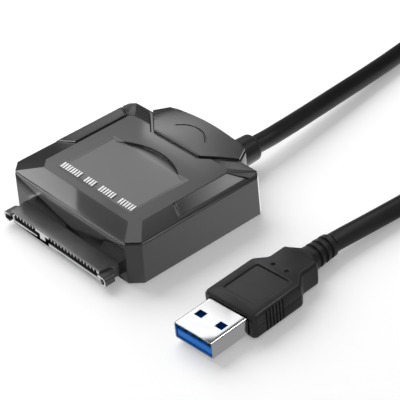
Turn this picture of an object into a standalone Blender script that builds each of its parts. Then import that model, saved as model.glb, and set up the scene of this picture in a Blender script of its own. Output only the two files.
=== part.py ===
"""Adapter between a disk drive's combined data and power socket and a computer, with a short captive lead.

Metres, +Z up. The origin lies under the middle of the housing, on the surface that it stands on.
The drive connector faces -Y. The lead leaves the back towards +Y, on the +X side.
"""
import math

import bmesh
import bpy
from mathutils import Matrix, Vector

# Clearances
SEAT_GAP = 0.0003
CONTACT_GAP = 0.00015
SLEEVE_GAP = 0.0002
CUT_MARGIN = 0.0010

# Housing, seen from above
HOUSING_WIDTH = 0.0490
HOUSING_FRONT = -0.0208
HOUSING_BACK = 0.0190
FRONT_CHAMFER = 0.0028
BACK_CHAMFER = 0.0014
TAIL_FRONT = 0.01285
TAIL_FRONT_WIDTH = 0.0174
TAIL_ROOT_WIDTH = 0.0335
TAIL_BACK_WIDTH = 0.0284
TAIL_REACH = 0.0042
TAIL_BULGE = 0.0008
TAIL_BULGE_STEPS = 10

# Housing walls and heights
WALL = 0.0015
FLOOR = 0.0012
RIM_HEIGHT = 0.01135
FRONT_LEAN = 0.0006
RIM_CHAMFER = 0.0003
BASE_CHAMFER = 0.0004
COVER_INSET = 0.00015
COVER_EDGE = 0.0001
COVER_RISE = 0.00075
COVER_THICKNESS = 0.0016
SKIRT_DEPTH = 0.0015
SKIRT_THICKNESS = 0.0011
SKIRT_BACK_CHAMFER = 0.0024

# Raised platform on the cover, and its slopes
PLATFORM_WIDTH = 0.0377
FRONT_SLOPE = 0.0054
BACK_SLOPE = 0.0050
PLATFORM_FRONT_CHAMFER = 0.0023
PLATFORM_BACK_CHAMFER = 0.0012

# Tail block with its crowned top
TAIL_GROOVE_WIDTH = 0.0007
TAIL_GROOVE_DEPTH = 0.0007
TAIL_STEP = 0.00015
TAIL_CROWN = 0.00055
TAIL_SIDE_DROP = 0.0009
CROWN_STEPS_ACROSS = 22
CROWN_STEPS_ALONG = 5
MARK_RADIUS = 0.0077
MARK_CENTRE = (-0.0004, 0.0127)
MARK_SWEEP = (math.radians(40), math.radians(137))
MARK_WIDTH = 0.00035
MARK_DEPTH = 0.0003
MARK_STEPS = 16

# Side pads on the cover's slopes
PAD_FRONT = -0.0037
PAD_BACK = 0.0125
PAD_END_SPLAY = 0.0027
PAD_RISE = 0.00045
PAD_CHAMFER = 0.00025
PAD_GROOVE_WIDTH = 0.00028
PAD_GROOVE_DEPTH = 0.00022
PAD_MARGIN = 0.0001
PAD_FOOT = 0.00003
CORNER_BLOCK_INSET = 0.0003

# Label recess with its finger notch
LABEL_WIDTH = 0.0288
LABEL_FRONT = -0.0131
LABEL_BACK = 0.0048
LABEL_DEPTH = 0.00025
LABEL_SLOPE = 0.0010
NOTCH_WIDTH = 0.0246
NOTCH_REACH = 0.0030
NOTCH_DEPTH = 0.0008
NOTCH_STEPS = 18
NOTCH_FALL_STEPS = 5
NOTCH_TIP_SHARE = 0.02
NOTCH_OVERLAP = 0.0002

# Pegs of the cover and their sockets in the base
PEG_RADIUS = 0.0010
PEG_TIP_RADIUS = 0.0008
SOCKET_WALL = 0.0009
SOCKET_HEIGHT = 0.0075
SOCKET_FLOOR = 0.0030
SOCKET_INSET = 0.0003
FRONT_SOCKET_SETBACK = 0.0123
BACK_SOCKET_SETBACK = 0.0055
PEG_SIDES = 20

# Circuit board
BOARD_THICKNESS = 0.0012
RIB_HEIGHT = 0.0003
RIB_WIDTH = 0.0012
RIB_SPREAD = 0.0160
BOARD_WIDTH = 0.0368
BOARD_LENGTH = 0.0300
BOARD_EAR_LENGTH = 0.0033
BOARD_EAR_MARGIN = 0.0005

# Drive connector
CONNECTOR_REACH = 0.0053
CONNECTOR_DEPTH = 0.0111
CONNECTOR_WIDTH = 0.0352
CONNECTOR_ROOT_WIDTH = 0.0372
CONNECTOR_ROOF = 0.0004
CONNECTOR_LIP = 0.00125
CONNECTOR_BEVEL = 0.0002
CONTACT_PITCH = 0.00127
CHAMBER_WIDTH = 0.00085
CHAMBER_HEIGHT = 0.0007
CHAMBER_LIFT = 0.00035
TONGUE_HEIGHT = 0.00115
TONGUE_DEPTH = 0.0055
SIGNAL_CONTACTS = 7
POWER_CONTACTS = 15
SIGNAL_TONGUE = 0.0106
POWER_TONGUE = 0.0208
TONGUE_DIVIDER = 0.0022
KEY_WIDTH = 0.0012
KEY_DEPTH = 0.0010
CONTACT_WIDTH = 0.00050
CONTACT_THICKNESS = 0.00022
CONTACT_SETBACK = 0.0008
CONTACT_FOOT = 0.0013
LATCH_SLOT_WIDTH = 0.0007
LATCH_SLOT_PLACES = (0.0014, 0.0112)
LATCH_SLOT_DEPTH = 0.0004

# Guide wings beside the connector's mouth
OPENING_WIDTH = 0.0402
WING_SPAN = 0.0407
WING_FORWARD = 0.0006
WING_LENGTH = 0.0028
WING_SLANT = 0.0015
WING_STEP = 0.0006
WING_DROP = 0.0027
WING_THICKNESS = 0.0006
WING_RADIUS = 0.0011
WING_HOOK = 0.0019
WING_STEPS = 5

# Board locks that hold the connector
LOCK_THICKNESS = 0.0003
LOCK_WIDTH = 0.0009
LOCK_HEIGHT = 0.0024
LOCK_FOOT = 0.0018

# Strain relief at the back of the housing
RELIEF_SIDE = 0.0071
RELIEF_HEIGHT = 0.0054
RELIEF_RADIUS = 0.00385
RELIEF_END_RADIUS = 0.0036
RELIEF_LENGTH = 0.0072
RELIEF_ROUND = 0.0009
RELIEF_NECK_RADIUS = 0.0027
RELIEF_FLANGE = 0.0014
RELIEF_FLANGE_RADIUS = 0.0035
RELIEF_SIDES = 32

# Lead
CORD_DIAMETER = 0.0048
CORD_REST = 0.00245
CORD_BEND_POINTS = [
    (0.00705, 0.0370, 0.00530),
    (0.00660, 0.0415, 0.00505),
    (0.00600, 0.0470, 0.00475),
    (0.00500, 0.0550, 0.00430),
    (0.00370, 0.0650, 0.00375),
    (0.00240, 0.0750, 0.00320),
    (0.00100, 0.0850, 0.00270),
    (-0.00030, 0.0940, CORD_REST),
    (-0.00110, 0.1030, CORD_REST),
    (-0.00060, 0.1130, CORD_REST),
    (0.00240, 0.1230, CORD_REST),
    (0.00850, 0.1315, CORD_REST),
    (0.01700, 0.1370, CORD_REST),
    (0.02680, 0.1384, CORD_REST),
    (0.03640, 0.1354, CORD_REST),
    (0.04400, 0.1285, CORD_REST),
    (0.04860, 0.1190, CORD_REST),
    (0.05050, 0.1080, CORD_REST),
    (0.05070, 0.0960, CORD_REST),
    (0.05050, 0.0840, CORD_REST),
    (0.05015, 0.0720, CORD_REST),
    (0.04975, 0.0600, CORD_REST),
    (0.04930, 0.0460, CORD_REST),
    (0.04905, 0.0390, 0.00255),
    (0.04880, 0.0320, 0.00275),
    (0.04860, 0.0260, 0.00300),
    (0.04845, 0.0215, 0.00320),
]
CORD_POINT_SPACING = 0.0050
CORD_CURVE_STEPS = 12

# Plug, in its own frame: +Y runs from the mouth to the lead
PLUG_MOUTH = (0.05110, -0.02620)
PLUG_TURN = math.radians(3.5)
SLEEVE_WIDTH = 0.0120
SLEEVE_HEIGHT = 0.0045
SLEEVE_WALL = 0.0003
SLEEVE_CORNER = 0.0006
SLEEVE_EXPOSED = 0.0110
SLEEVE_BURIED = 0.0060
WINDOW_WIDTH = 0.0023
WINDOW_LENGTH = 0.0020
WINDOW_SPREAD = 0.0064
WINDOW_SETBACK = 0.0056
GRIP_WIDTH = 0.0158
GRIP_HEIGHT = 0.0066
GRIP_LENGTH = 0.0156
GRIP_EDGE = 0.0010
SHOULDER_WIDTH = 0.0106
SHOULDER_LENGTH = 0.0054
SHOULDER_TAPER = 0.0027
PLUG_NECK_LENGTH = 0.0018
BOOT_RADIUS = 0.0032
BOOT_END_RADIUS = 0.0029
BOOT_LENGTH = 0.0078
BOOT_ROUND = 0.0005
RING_COUNT = 3
RING_PITCH = 0.0020
RING_WIDTH = 0.00095
RING_DEPTH = 0.0006
RING_SETBACK = 0.0011
SECTION_CORNER_STEPS = 6
GROOVE_COUNT = 6
GROOVE_PITCH = 0.00103
GROOVE_WIDTH = 0.00045
GROOVE_DEPTH = 0.00035
GROOVE_SETBACK = 0.0037
GROOVE_HEIGHT = 0.0056
PARTING_WIDTH = 0.00014
PARTING_DEPTH = 0.00012
PANEL_WIDTH = 0.0103
PANEL_LENGTH = 0.0110
PANEL_SETBACK = 0.0035
PANEL_DEPTH = 0.0003
PANEL_CORNER = 0.0008
DOT_RADIUS = 0.00055
DOT_DEPTH = 0.0003
DOT_SPREAD = 0.0042
DOT_SETBACK = 0.0015

# Inside of the plug
INSULATOR_SETBACK = 0.0004
INSULATOR_THICKNESS = 0.0019
INSULATOR_BLOCK = 0.0098
PAD_CONTACTS = (-0.0035, -0.0010, 0.0010, 0.0035)
PAD_WIDTH = 0.0010
PAD_LENGTH = 0.0058
PAD_SETBACK = 0.0009
PAD_THICKNESS = 0.0002
SPRING_PITCH = 0.0020
SPRING_CONTACTS = 5
SPRING_WIDTH = 0.0006
SPRING_LENGTH = 0.0014
SPRING_HEIGHT = 0.0007
SPRING_THICKNESS = 0.0002

# Inner wires
WIRES = (
    ("power_wire", 0.00045), ("data_pair", 0.00050), ("transmit_pair", 0.00055), ("receive_pair", 0.00055),
    ("ground_wire", 0.00045),
)
WIRE_PAD_PITCH = 0.0018
WIRE_ROOT_PITCH = 0.0013
WIRE_LANDING = 0.0016
WIRE_LEAD = 0.0007

# Pieces on the board: size (x, y, z) and place (x, y) of each copy, from the board's middle
CHIP_SIZE = (0.0090, 0.0090, 0.0011)
CHIP_PLACE = (-0.0020, -0.0015)
CHIP_DIMPLE_RADIUS = 0.0005
MEMORY_SIZE = (0.0050, 0.0040, 0.0014)
MEMORY_PLACE = (-0.0110, -0.0060)
REGULATOR_SIZE = (0.0064, 0.0035, 0.0015)
REGULATOR_PLACE = (0.0092, 0.0002)
CRYSTAL_SIZE = (0.0050, 0.0032, 0.0011)
CRYSTAL_PLACE = (-0.0110, 0.0020)
INDUCTOR_RADIUS = 0.0024
INDUCTOR_WAIST = 0.0018
INDUCTOR_HEIGHT = 0.0022
INDUCTOR_PLACE = (0.0095, -0.0072)
CAPACITOR_SIZE = (0.0020, 0.00125, 0.0011)
CAPACITOR_PLACES = (
    (-0.0020, -0.0093), (0.0030, -0.0093), (-0.0075, 0.0070), (0.0050, 0.0052),
)
RESISTOR_SIZE = (0.0016, 0.0008, 0.0005)
RESISTOR_PLACES = (
    (-0.0120, -0.0098), (-0.0085, -0.0098), (-0.0130, 0.0070),
)

# Heights and places that follow from the sizes above
HALF_WIDTH = HOUSING_WIDTH / 2
TAIL_END = HOUSING_BACK + TAIL_REACH
COVER_BOTTOM = RIM_HEIGHT + SEAT_GAP
SLOPE_FOOT = COVER_BOTTOM + COVER_EDGE
PLATFORM_TOP = SLOPE_FOOT + COVER_RISE
CEILING = PLATFORM_TOP - COVER_THICKNESS
SKIRT_BOTTOM = CEILING - SKIRT_DEPTH
SKIRT_INSET = WALL + SEAT_GAP
CAVITY_HALF_WIDTH = HALF_WIDTH - WALL
SOCKET_RADIUS = PEG_RADIUS + SEAT_GAP + SOCKET_WALL
SOCKET_X = CAVITY_HALF_WIDTH - SOCKET_RADIUS + SOCKET_INSET
FRONT_SOCKET_Y = HOUSING_FRONT + FRONT_SOCKET_SETBACK
BACK_SOCKET_Y = HOUSING_BACK - BACK_SOCKET_SETBACK
BOARD_BOTTOM = FLOOR + RIB_HEIGHT + SEAT_GAP
BOARD_TOP = BOARD_BOTTOM + BOARD_THICKNESS
PIECE_BOTTOM = BOARD_TOP + CONTACT_GAP
CHAMBER_BOTTOM = BOARD_TOP + CHAMBER_LIFT
CHAMBER_TOP = CHAMBER_BOTTOM + CHAMBER_HEIGHT
CONNECTOR_TOP = CHAMBER_TOP + CONNECTOR_ROOF
TONGUE_BOTTOM = CHAMBER_BOTTOM - TONGUE_HEIGHT
CONNECTOR_BOTTOM = TONGUE_BOTTOM - CONNECTOR_LIP
CONNECTOR_FRONT = HOUSING_FRONT - CONNECTOR_REACH
CONNECTOR_BACK = CONNECTOR_FRONT + CONNECTOR_DEPTH
TONGUE_SPAN = SIGNAL_TONGUE + TONGUE_DIVIDER + POWER_TONGUE
SIGNAL_RIGHT = -TONGUE_SPAN / 2 + SIGNAL_TONGUE
POWER_LEFT = SIGNAL_RIGHT + TONGUE_DIVIDER
BOARD_FRONT = CONNECTOR_BACK + SEAT_GAP
BOARD_BACK = BOARD_FRONT + BOARD_LENGTH
BOARD_HALF_WIDTH = BOARD_WIDTH / 2
LOCK_NEAR = CONNECTOR_ROOT_WIDTH / 2 + SEAT_GAP
LOCK_FAR = LOCK_NEAR + LOCK_WIDTH
WALL_CORNER_SHIFT = WALL * math.sqrt(2)
LOCK_CORNER = HOUSING_FRONT + WALL_CORNER_SHIFT + LOCK_FAR - (HALF_WIDTH - FRONT_CHAMFER)
LOCK_FRONT = max(HOUSING_FRONT + WALL, LOCK_CORNER) + SEAT_GAP
BOARD_EAR_HALF_WIDTH = LOCK_FAR + BOARD_EAR_MARGIN
BOARD_MIDDLE = (BOARD_FRONT + BOARD_BACK) / 2
PAD_END_SLANT = PAD_END_SPLAY / (HALF_WIDTH - PLATFORM_WIDTH / 2)
PLUG_AXIS_HEIGHT = GRIP_HEIGHT / 2
GRIP_FRONT = SLEEVE_EXPOSED
GRIP_BACK = GRIP_FRONT + GRIP_LENGTH
SHOULDER_FRONT = GRIP_BACK + SHOULDER_TAPER
SHOULDER_BACK = SHOULDER_FRONT + SHOULDER_LENGTH
BOOT_FRONT = SHOULDER_BACK + PLUG_NECK_LENGTH
BOOT_BACK = BOOT_FRONT + BOOT_LENGTH


# Scene and materials

def clear_scene():
    for obj in list(bpy.data.objects):
        bpy.data.objects.remove(obj, do_unlink=True)


def make_material(name, colour, roughness, metallic=0.0):
    material = bpy.data.materials.new(name)
    material.use_nodes = True
    shader = material.node_tree.nodes["Principled BSDF"]
    shader.inputs["Base Color"].default_value = (*colour, 1.0)
    shader.inputs["Roughness"].default_value = roughness
    shader.inputs["Metallic"].default_value = metallic
    material.diffuse_color = (*colour, 1.0)
    return material


def make_materials():
    return {
        "housing": make_material("housing plastic", (0.10, 0.10, 0.105), 0.38),
        "connector": make_material("connector plastic", (0.06, 0.06, 0.065), 0.42),
        "gold": make_material("gold contact", (0.86, 0.62, 0.25), 0.28, 1.0),
        "steel": make_material("plated steel", (0.80, 0.80, 0.81), 0.22, 1.0),
        "board": make_material("circuit board", (0.03, 0.16, 0.07), 0.45),
        "chip": make_material("chip resin", (0.02, 0.02, 0.02), 0.5),
        "ceramic": make_material("capacitor ceramic", (0.45, 0.33, 0.20), 0.5),
        "ferrite": make_material("ferrite", (0.09, 0.09, 0.09), 0.6),
        "jacket": make_material("lead jacket", (0.012, 0.012, 0.013), 0.45),
        "moulding": make_material("soft moulding", (0.035, 0.036, 0.035), 0.5),
        "blue": make_material("blue insulator", (0.01, 0.16, 0.68), 0.35),
        "wire": make_material("wire insulation", (0.55, 0.05, 0.05), 0.5),
    }


# Mesh helpers

def add_object(name, mesh_source, material=None, parent=None, smooth_angle=None):
    mesh = bpy.data.meshes.new(name)
    bmesh.ops.recalc_face_normals(mesh_source, faces=mesh_source.faces)
    mesh_source.to_mesh(mesh)
    mesh_source.free()
    if smooth_angle is not None:
        mesh.shade_smooth()
        mesh.set_sharp_from_angle(angle=smooth_angle)
    obj = bpy.data.objects.new(name, mesh)
    bpy.context.scene.collection.objects.link(obj)
    if material is not None:
        mesh.materials.append(material)
    obj.parent = parent
    return obj


def add_copies(name, mesh_source, places, material, parent=None):
    """One object for each place; all of them share one mesh."""
    first = add_object(name + "_1", mesh_source, material, parent)
    first.location = places[0]
    for number, place in enumerate(places[1:], 2):
        copy = bpy.data.objects.new(f"{name}_{number}", first.data)
        copy.location = place
        copy.parent = parent
        bpy.context.scene.collection.objects.link(copy)
    return first


def make_cutter(name, mesh_source, parent=None):
    cutter = add_object(name, mesh_source, parent=parent)
    cutter.hide_render = True
    cutter.display_type = "WIRE"
    return cutter


def combine(target, operation, cutter):
    modifier = target.modifiers.new(cutter.name, "BOOLEAN")
    modifier.operation = operation
    modifier.solver = "EXACT"
    modifier.object = cutter


def add_box(mesh, low, high):
    size = Vector(high) - Vector(low)
    middle = (Vector(high) + Vector(low)) / 2
    matrix = Matrix.Translation(middle) @ Matrix.Diagonal((*size, 1.0))
    return bmesh.ops.create_cube(mesh, size=1.0, matrix=matrix)["verts"]


def box(low, high):
    mesh = bmesh.new()
    add_box(mesh, low, high)
    return mesh


def add_loft(mesh, rings):
    """Skins closed rings of equal length one after another and caps both ends."""
    rows = [[mesh.verts.new(point) for point in ring] for ring in rings]
    count = len(rows[0])
    for lower, upper in zip(rows, rows[1:]):
        for i in range(count):
            j = (i + 1) % count
            mesh.faces.new((lower[i], lower[j], upper[j], upper[i]))
    mesh.faces.new(rows[0][::-1])
    mesh.faces.new(rows[-1])


def loft(rings):
    mesh = bmesh.new()
    add_loft(mesh, rings)
    return mesh


def at_height(outline, height):
    return [(x, y, height) for x, y in outline]


def prism(outline, low, high):
    return loft([at_height(outline, low), at_height(outline, high)])


def extrude_along_y(outline, front, back):
    """A closed outline of (x, z) points, carried straight from front to back."""
    return loft([[(x, y, z) for x, z in outline] for y in (front, back)])


def offset_outline(outline, inset):
    """Moves each side of an anticlockwise outline inwards and joins the new sides at their crossings."""
    count = len(outline)
    moved = []
    for i in range(count):
        before = Vector(outline[i]) - Vector(outline[i - 1])
        after = Vector(outline[(i + 1) % count]) - Vector(outline[i])
        normal_before = Vector((-before.y, before.x)).normalized()
        normal_after = Vector((-after.y, after.x)).normalized()
        bisector = normal_before + normal_after
        scale = 2 * inset / bisector.length_squared
        moved.append(tuple(Vector(outline[i]) + bisector * scale))
    return moved


def turned(profile, centre, sides):
    """Turns (y, radius) points about the line through centre (x, z) along Y. Both ends are on the axis."""
    x, z = centre
    mesh = bmesh.new()
    first = mesh.verts.new((x, profile[0][0], z))
    last = mesh.verts.new((x, profile[-1][0], z))
    rings = []
    for y, radius in profile[1:-1]:
        ring = []
        for i in range(sides):
            angle = 2 * math.pi * i / sides
            ring.append(mesh.verts.new((x + radius * math.cos(angle), y, z + radius * math.sin(angle))))
        rings.append(ring)
    for lower, upper in zip(rings, rings[1:]):
        for i in range(sides):
            j = (i + 1) % sides
            mesh.faces.new((lower[i], lower[j], upper[j], upper[i]))
    for i in range(sides):
        j = (i + 1) % sides
        mesh.faces.new((first, rings[0][i], rings[0][j]))
        mesh.faces.new((last, rings[-1][j], rings[-1][i]))
    return mesh


def arc(centre, radius, start, end, steps):
    points = []
    for i in range(steps + 1):
        angle = start + (end - start) * i / steps
        points.append((centre[0] + radius * math.cos(angle), centre[1] + radius * math.sin(angle)))
    return points


def mirrored(points):
    return [(-x, y) for x, y in reversed(points)]


# Outlines of the housing

def tail_back(half_width):
    """The slightly bulged back edge of the tail, from right to left."""
    points = []
    for i in range(TAIL_BULGE_STEPS + 1):
        across = 1 - 2 * i / TAIL_BULGE_STEPS
        points.append((half_width * across, TAIL_END + TAIL_BULGE * (1 - across * across)))
    return points


def body_side(back_chamfer):
    return [
        (HALF_WIDTH - FRONT_CHAMFER, HOUSING_FRONT),
        (HALF_WIDTH, HOUSING_FRONT + FRONT_CHAMFER),
        (HALF_WIDTH, HOUSING_BACK - back_chamfer),
        (HALF_WIDTH - back_chamfer, HOUSING_BACK),
    ]


def housing_outline(back_chamfer=BACK_CHAMFER):
    """The housing from above, anticlockwise from the right end of its front."""
    right = body_side(back_chamfer) + [(TAIL_ROOT_WIDTH / 2, HOUSING_BACK)]
    return right + tail_back(TAIL_BACK_WIDTH / 2) + mirrored(right)


def body_outline():
    """The housing without its tail."""
    right = body_side(BACK_CHAMFER)
    return right + mirrored(right)


def platform_outline():
    half = PLATFORM_WIDTH / 2
    front = HOUSING_FRONT + FRONT_SLOPE
    back = HOUSING_BACK - BACK_SLOPE
    right = [
        (half - PLATFORM_FRONT_CHAMFER, front),
        (half, front + PLATFORM_FRONT_CHAMFER),
        (half, back - PLATFORM_BACK_CHAMFER),
        (half - PLATFORM_BACK_CHAMFER, back),
    ]
    return right + mirrored(right)


def leaning_ring(inset, height):
    """The tray's outline at a height: its front leans forward from the rim to the foot."""
    lean = FRONT_LEAN * (1 - height / RIM_HEIGHT)
    behind_chamfer = HOUSING_FRONT + FRONT_CHAMFER + CUT_MARGIN
    ring = offset_outline(housing_outline(), inset)
    return [(x, y - lean if y < behind_chamfer else y, height) for x, y in ring]


def tail_outline():
    right = [(TAIL_FRONT_WIDTH / 2, TAIL_FRONT), (TAIL_ROOT_WIDTH / 2, HOUSING_BACK)]
    return right + tail_back(TAIL_BACK_WIDTH / 2) + mirrored(right)


def crown_height(x, y):
    """The tail's top: level along its front edge, arched more and more towards the back."""
    along = (y - TAIL_FRONT) / (TAIL_END - TAIL_FRONT)
    across = x / (TAIL_BACK_WIDTH / 2)
    return PLATFORM_TOP + TAIL_STEP + along * (TAIL_CROWN - TAIL_SIDE_DROP * across * across)


# Housing

def make_tail_block():
    block = make_cutter("tail_block", prism(offset_outline(tail_outline(), COVER_INSET),
                                            COVER_BOTTOM, PLATFORM_TOP + 4 * TAIL_CROWN))
    half = TAIL_ROOT_WIDTH / 2 + CUT_MARGIN
    front = TAIL_FRONT - CUT_MARGIN
    back = TAIL_END + TAIL_BULGE + CUT_MARGIN
    mesh = bmesh.new()
    rows = []
    for j in range(CROWN_STEPS_ALONG + 1):
        y = front + (back - front) * j / CROWN_STEPS_ALONG
        xs = [half * (2 * i / CROWN_STEPS_ACROSS - 1) for i in range(CROWN_STEPS_ACROSS + 1)]
        top = [(x, y, crown_height(x, y)) for x in xs]
        rows.append(top + [(half, y, COVER_BOTTOM - CUT_MARGIN), (-half, y, COVER_BOTTOM - CUT_MARGIN)])
    add_loft(mesh, rows)
    bmesh.ops.triangulate(mesh, faces=mesh.faces)
    combine(block, "INTERSECT", make_cutter("tail_crown", mesh))
    return block


def slope_height(x):
    """Height of the cover's side slope at a distance x from the middle."""
    half = PLATFORM_WIDTH / 2
    return PLATFORM_TOP - COVER_RISE * (abs(x) - half) / (HALF_WIDTH - half)


def pad_plan(grow, outer):
    """One pad from above, on the right-hand slope: its ends are splayed towards the cover's side."""
    inner = PLATFORM_WIDTH / 2 + PAD_MARGIN + PAD_GROOVE_WIDTH - grow
    splay = PAD_END_SLANT * (outer - inner)
    front = PAD_FRONT - grow
    back = PAD_BACK + grow
    return [(inner, front), (outer, front - splay), (outer, back + splay), (inner, back)]


def pad_pockets():
    """Room for the pads and the fine grooves around them, shallower towards the cover's side."""
    mesh = bmesh.new()
    plan = pad_plan(PAD_GROOVE_WIDTH, HALF_WIDTH + CUT_MARGIN)
    deep, shallow = PLATFORM_TOP - PAD_GROOVE_DEPTH, SLOPE_FOOT - PAD_FOOT
    for side in (1, -1):
        add_loft(mesh, [
            [(side * x, y, z) for (x, y), z in zip(plan, (deep, shallow, shallow, deep))],
            [(side * x, y, slope_height(x) + CUT_MARGIN) for x, y in plan],
        ])
    return mesh


def side_pads():
    """The pads' tops run parallel to the slope and have a small chamfer all round."""
    mesh = bmesh.new()
    plan = pad_plan(0.0, HALF_WIDTH - 2 * COVER_INSET)
    top = offset_outline(plan, PAD_CHAMFER)
    for side in (1, -1):
        add_loft(mesh, [
            [(side * x, y, COVER_BOTTOM + PAD_FOOT) for x, y in plan],
            [(side * x, y, slope_height(x) + PAD_RISE - PAD_CHAMFER) for x, y in plan],
            [(side * x, y, slope_height(x) + PAD_RISE) for x, y in top],
        ])
    return mesh


def corner_blocks():
    """Behind each pad the cover falls only towards the back, so its corner stands above the pad's end."""
    mesh = bmesh.new()
    inner = PLATFORM_WIDTH / 2 - PLATFORM_BACK_CHAMFER
    outer = HALF_WIDTH - CORNER_BLOCK_INSET
    back = HOUSING_BACK - CORNER_BLOCK_INSET
    front = PAD_BACK + PAD_GROOVE_WIDTH / 2
    edge = PLATFORM_WIDTH / 2
    plan = [
        (inner, front),
        (edge, front),
        (outer, front + PAD_END_SLANT * (outer - edge)),
        (outer, back - BACK_CHAMFER),
        (outer - BACK_CHAMFER, back),
        (inner, back),
    ]
    for side in (1, -1):
        tops = [PLATFORM_TOP - PAD_FOOT - COVER_RISE * (y - front) / (back - front) for x, y in plan]
        add_loft(mesh, [
            [(side * x, y, COVER_BOTTOM + PAD_FOOT) for x, y in plan],
            [(side * x, y, z) for (x, y), z in zip(plan, tops)],
        ])
    return mesh


def label_recess():
    half = LABEL_WIDTH / 2
    plan = [(-half, LABEL_FRONT), (half, LABEL_FRONT), (half, LABEL_BACK), (-half, LABEL_BACK)]
    grow = LABEL_SLOPE * CUT_MARGIN / LABEL_DEPTH
    return loft([
        at_height(offset_outline(plan, LABEL_SLOPE), PLATFORM_TOP - LABEL_DEPTH),
        at_height(offset_outline(plan, -grow), PLATFORM_TOP + CUT_MARGIN),
    ])


def finger_notch():
    """A crescent behind the label: its floor leaves the label at the chord and bends down to the arc."""
    chord_y = LABEL_BACK - LABEL_SLOPE - NOTCH_OVERLAP
    reach = NOTCH_REACH + LABEL_SLOPE + NOTCH_OVERLAP
    floor = PLATFORM_TOP - LABEL_DEPTH - PAD_FOOT
    fall = NOTCH_DEPTH - LABEL_DEPTH
    rings = []
    for i in range(NOTCH_STEPS + 1):
        across = 2 * i / NOTCH_STEPS - 1
        bow = max(1 - across * across, NOTCH_TIP_SHARE)
        x = across * NOTCH_WIDTH / 2
        ring = []
        for j in range(NOTCH_FALL_STEPS + 1):
            share = j / NOTCH_FALL_STEPS
            ring.append((x, chord_y + reach * bow * share, floor - fall * bow * share * share))
        ring.append((x, chord_y + reach * bow, PLATFORM_TOP + CUT_MARGIN))
        ring.append((x, chord_y, PLATFORM_TOP + CUT_MARGIN))
        rings.append(ring)
    mesh = loft(rings)
    bmesh.ops.triangulate(mesh, faces=mesh.faces)
    return mesh


def tail_mark():
    """A thin arc cut into the crowned top."""
    start, end = MARK_SWEEP
    inner = arc(MARK_CENTRE, MARK_RADIUS - MARK_WIDTH / 2, start, end, MARK_STEPS)
    outer = arc(MARK_CENTRE, MARK_RADIUS + MARK_WIDTH / 2, start, end, MARK_STEPS)
    rings = []
    for (xi, yi), (xo, yo) in zip(inner, outer):
        rings.append([
            (xi, yi, crown_height(xi, yi) - MARK_DEPTH),
            (xo, yo, crown_height(xo, yo) - MARK_DEPTH),
            (xo, yo, crown_height(xo, yo) + CUT_MARGIN),
            (xi, yi, crown_height(xi, yi) + CUT_MARGIN),
        ])
    return loft(rings)


def socket_places():
    return [(side * SOCKET_X, y) for side in (1, -1) for y in (FRONT_SOCKET_Y, BACK_SOCKET_Y)]


def upright_posts(bottom, top, bottom_radius, top_radius):
    mesh = bmesh.new()
    for x, y in socket_places():
        rings = []
        for height, radius in ((bottom, bottom_radius), (top, top_radius)):
            circle = arc((x, y), radius, 0, 2 * math.pi * (PEG_SIDES - 1) / PEG_SIDES, PEG_SIDES - 1)
            rings.append(at_height(circle, height))
        add_loft(mesh, rings)
    return mesh


def relief_slot(half_width, bottom, top, front, back):
    """An outline with a round foot, straight up to top, carried along Y through the back wall."""
    foot = arc((RELIEF_SIDE, bottom + half_width), half_width, math.pi, 2 * math.pi, 12)
    outline = foot + [(RELIEF_SIDE + half_width, top), (RELIEF_SIDE - half_width, top)]
    return extrude_along_y(outline, front, back)


def make_upper_shell(materials):
    body = offset_outline(body_outline(), COVER_INSET)
    shell = add_object("upper_shell", loft([
        at_height(body, COVER_BOTTOM),
        at_height(body, SLOPE_FOOT),
        at_height(platform_outline(), PLATFORM_TOP),
    ]), materials["housing"])
    pocket = offset_outline(tail_outline(), -TAIL_GROOVE_WIDTH)
    combine(shell, "DIFFERENCE", make_cutter("tail_pocket", prism(
        pocket, PLATFORM_TOP - TAIL_GROOVE_DEPTH, PLATFORM_TOP + CUT_MARGIN)))
    combine(shell, "UNION", make_tail_block())
    combine(shell, "UNION", make_cutter("corner_blocks", corner_blocks()))
    combine(shell, "DIFFERENCE", make_cutter("pad_pockets", pad_pockets()))
    combine(shell, "UNION", make_cutter("side_pads", side_pads()))
    combine(shell, "DIFFERENCE", make_cutter("label_recess", label_recess()))
    combine(shell, "DIFFERENCE", make_cutter("finger_notch", finger_notch()))
    combine(shell, "DIFFERENCE", make_cutter("tail_mark", tail_mark()))
    skirt = offset_outline(housing_outline(), SKIRT_INSET)
    combine(shell, "UNION", make_cutter("cover_skirt", prism(
        skirt, SKIRT_BOTTOM, COVER_BOTTOM + COVER_EDGE)))
    hollow = offset_outline(housing_outline(SKIRT_BACK_CHAMFER), SKIRT_INSET + SKIRT_THICKNESS)
    combine(shell, "DIFFERENCE", make_cutter("cover_hollow", prism(
        hollow, SKIRT_BOTTOM - CUT_MARGIN, CEILING)))
    combine(shell, "UNION", make_cutter("cover_pegs", upright_posts(
        SOCKET_FLOOR + SEAT_GAP, CEILING + SEAT_GAP, PEG_TIP_RADIUS, PEG_RADIUS)))
    tab_half = RELIEF_NECK_RADIUS
    wall_back = TAIL_END + TAIL_BULGE
    tab = make_cutter("slot_tab", box(
        (RELIEF_SIDE - tab_half, TAIL_END - WALL, RELIEF_HEIGHT),
        (RELIEF_SIDE + tab_half, wall_back, COVER_BOTTOM + COVER_EDGE)))
    combine(tab, "INTERSECT", make_cutter("slot_tab_limit", prism(
        offset_outline(housing_outline(), 2 * COVER_INSET), 0.0, PLATFORM_TOP)))
    neck = [(TAIL_END - 2 * WALL, 0.0), (TAIL_END - 2 * WALL, RELIEF_NECK_RADIUS + SEAT_GAP),
            (wall_back + CUT_MARGIN, RELIEF_NECK_RADIUS + SEAT_GAP), (wall_back + CUT_MARGIN, 0.0)]
    combine(tab, "DIFFERENCE", make_cutter("tab_seat", turned(
        neck, (RELIEF_SIDE, RELIEF_HEIGHT), RELIEF_SIDES)))
    combine(shell, "UNION", tab)
    return shell


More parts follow.
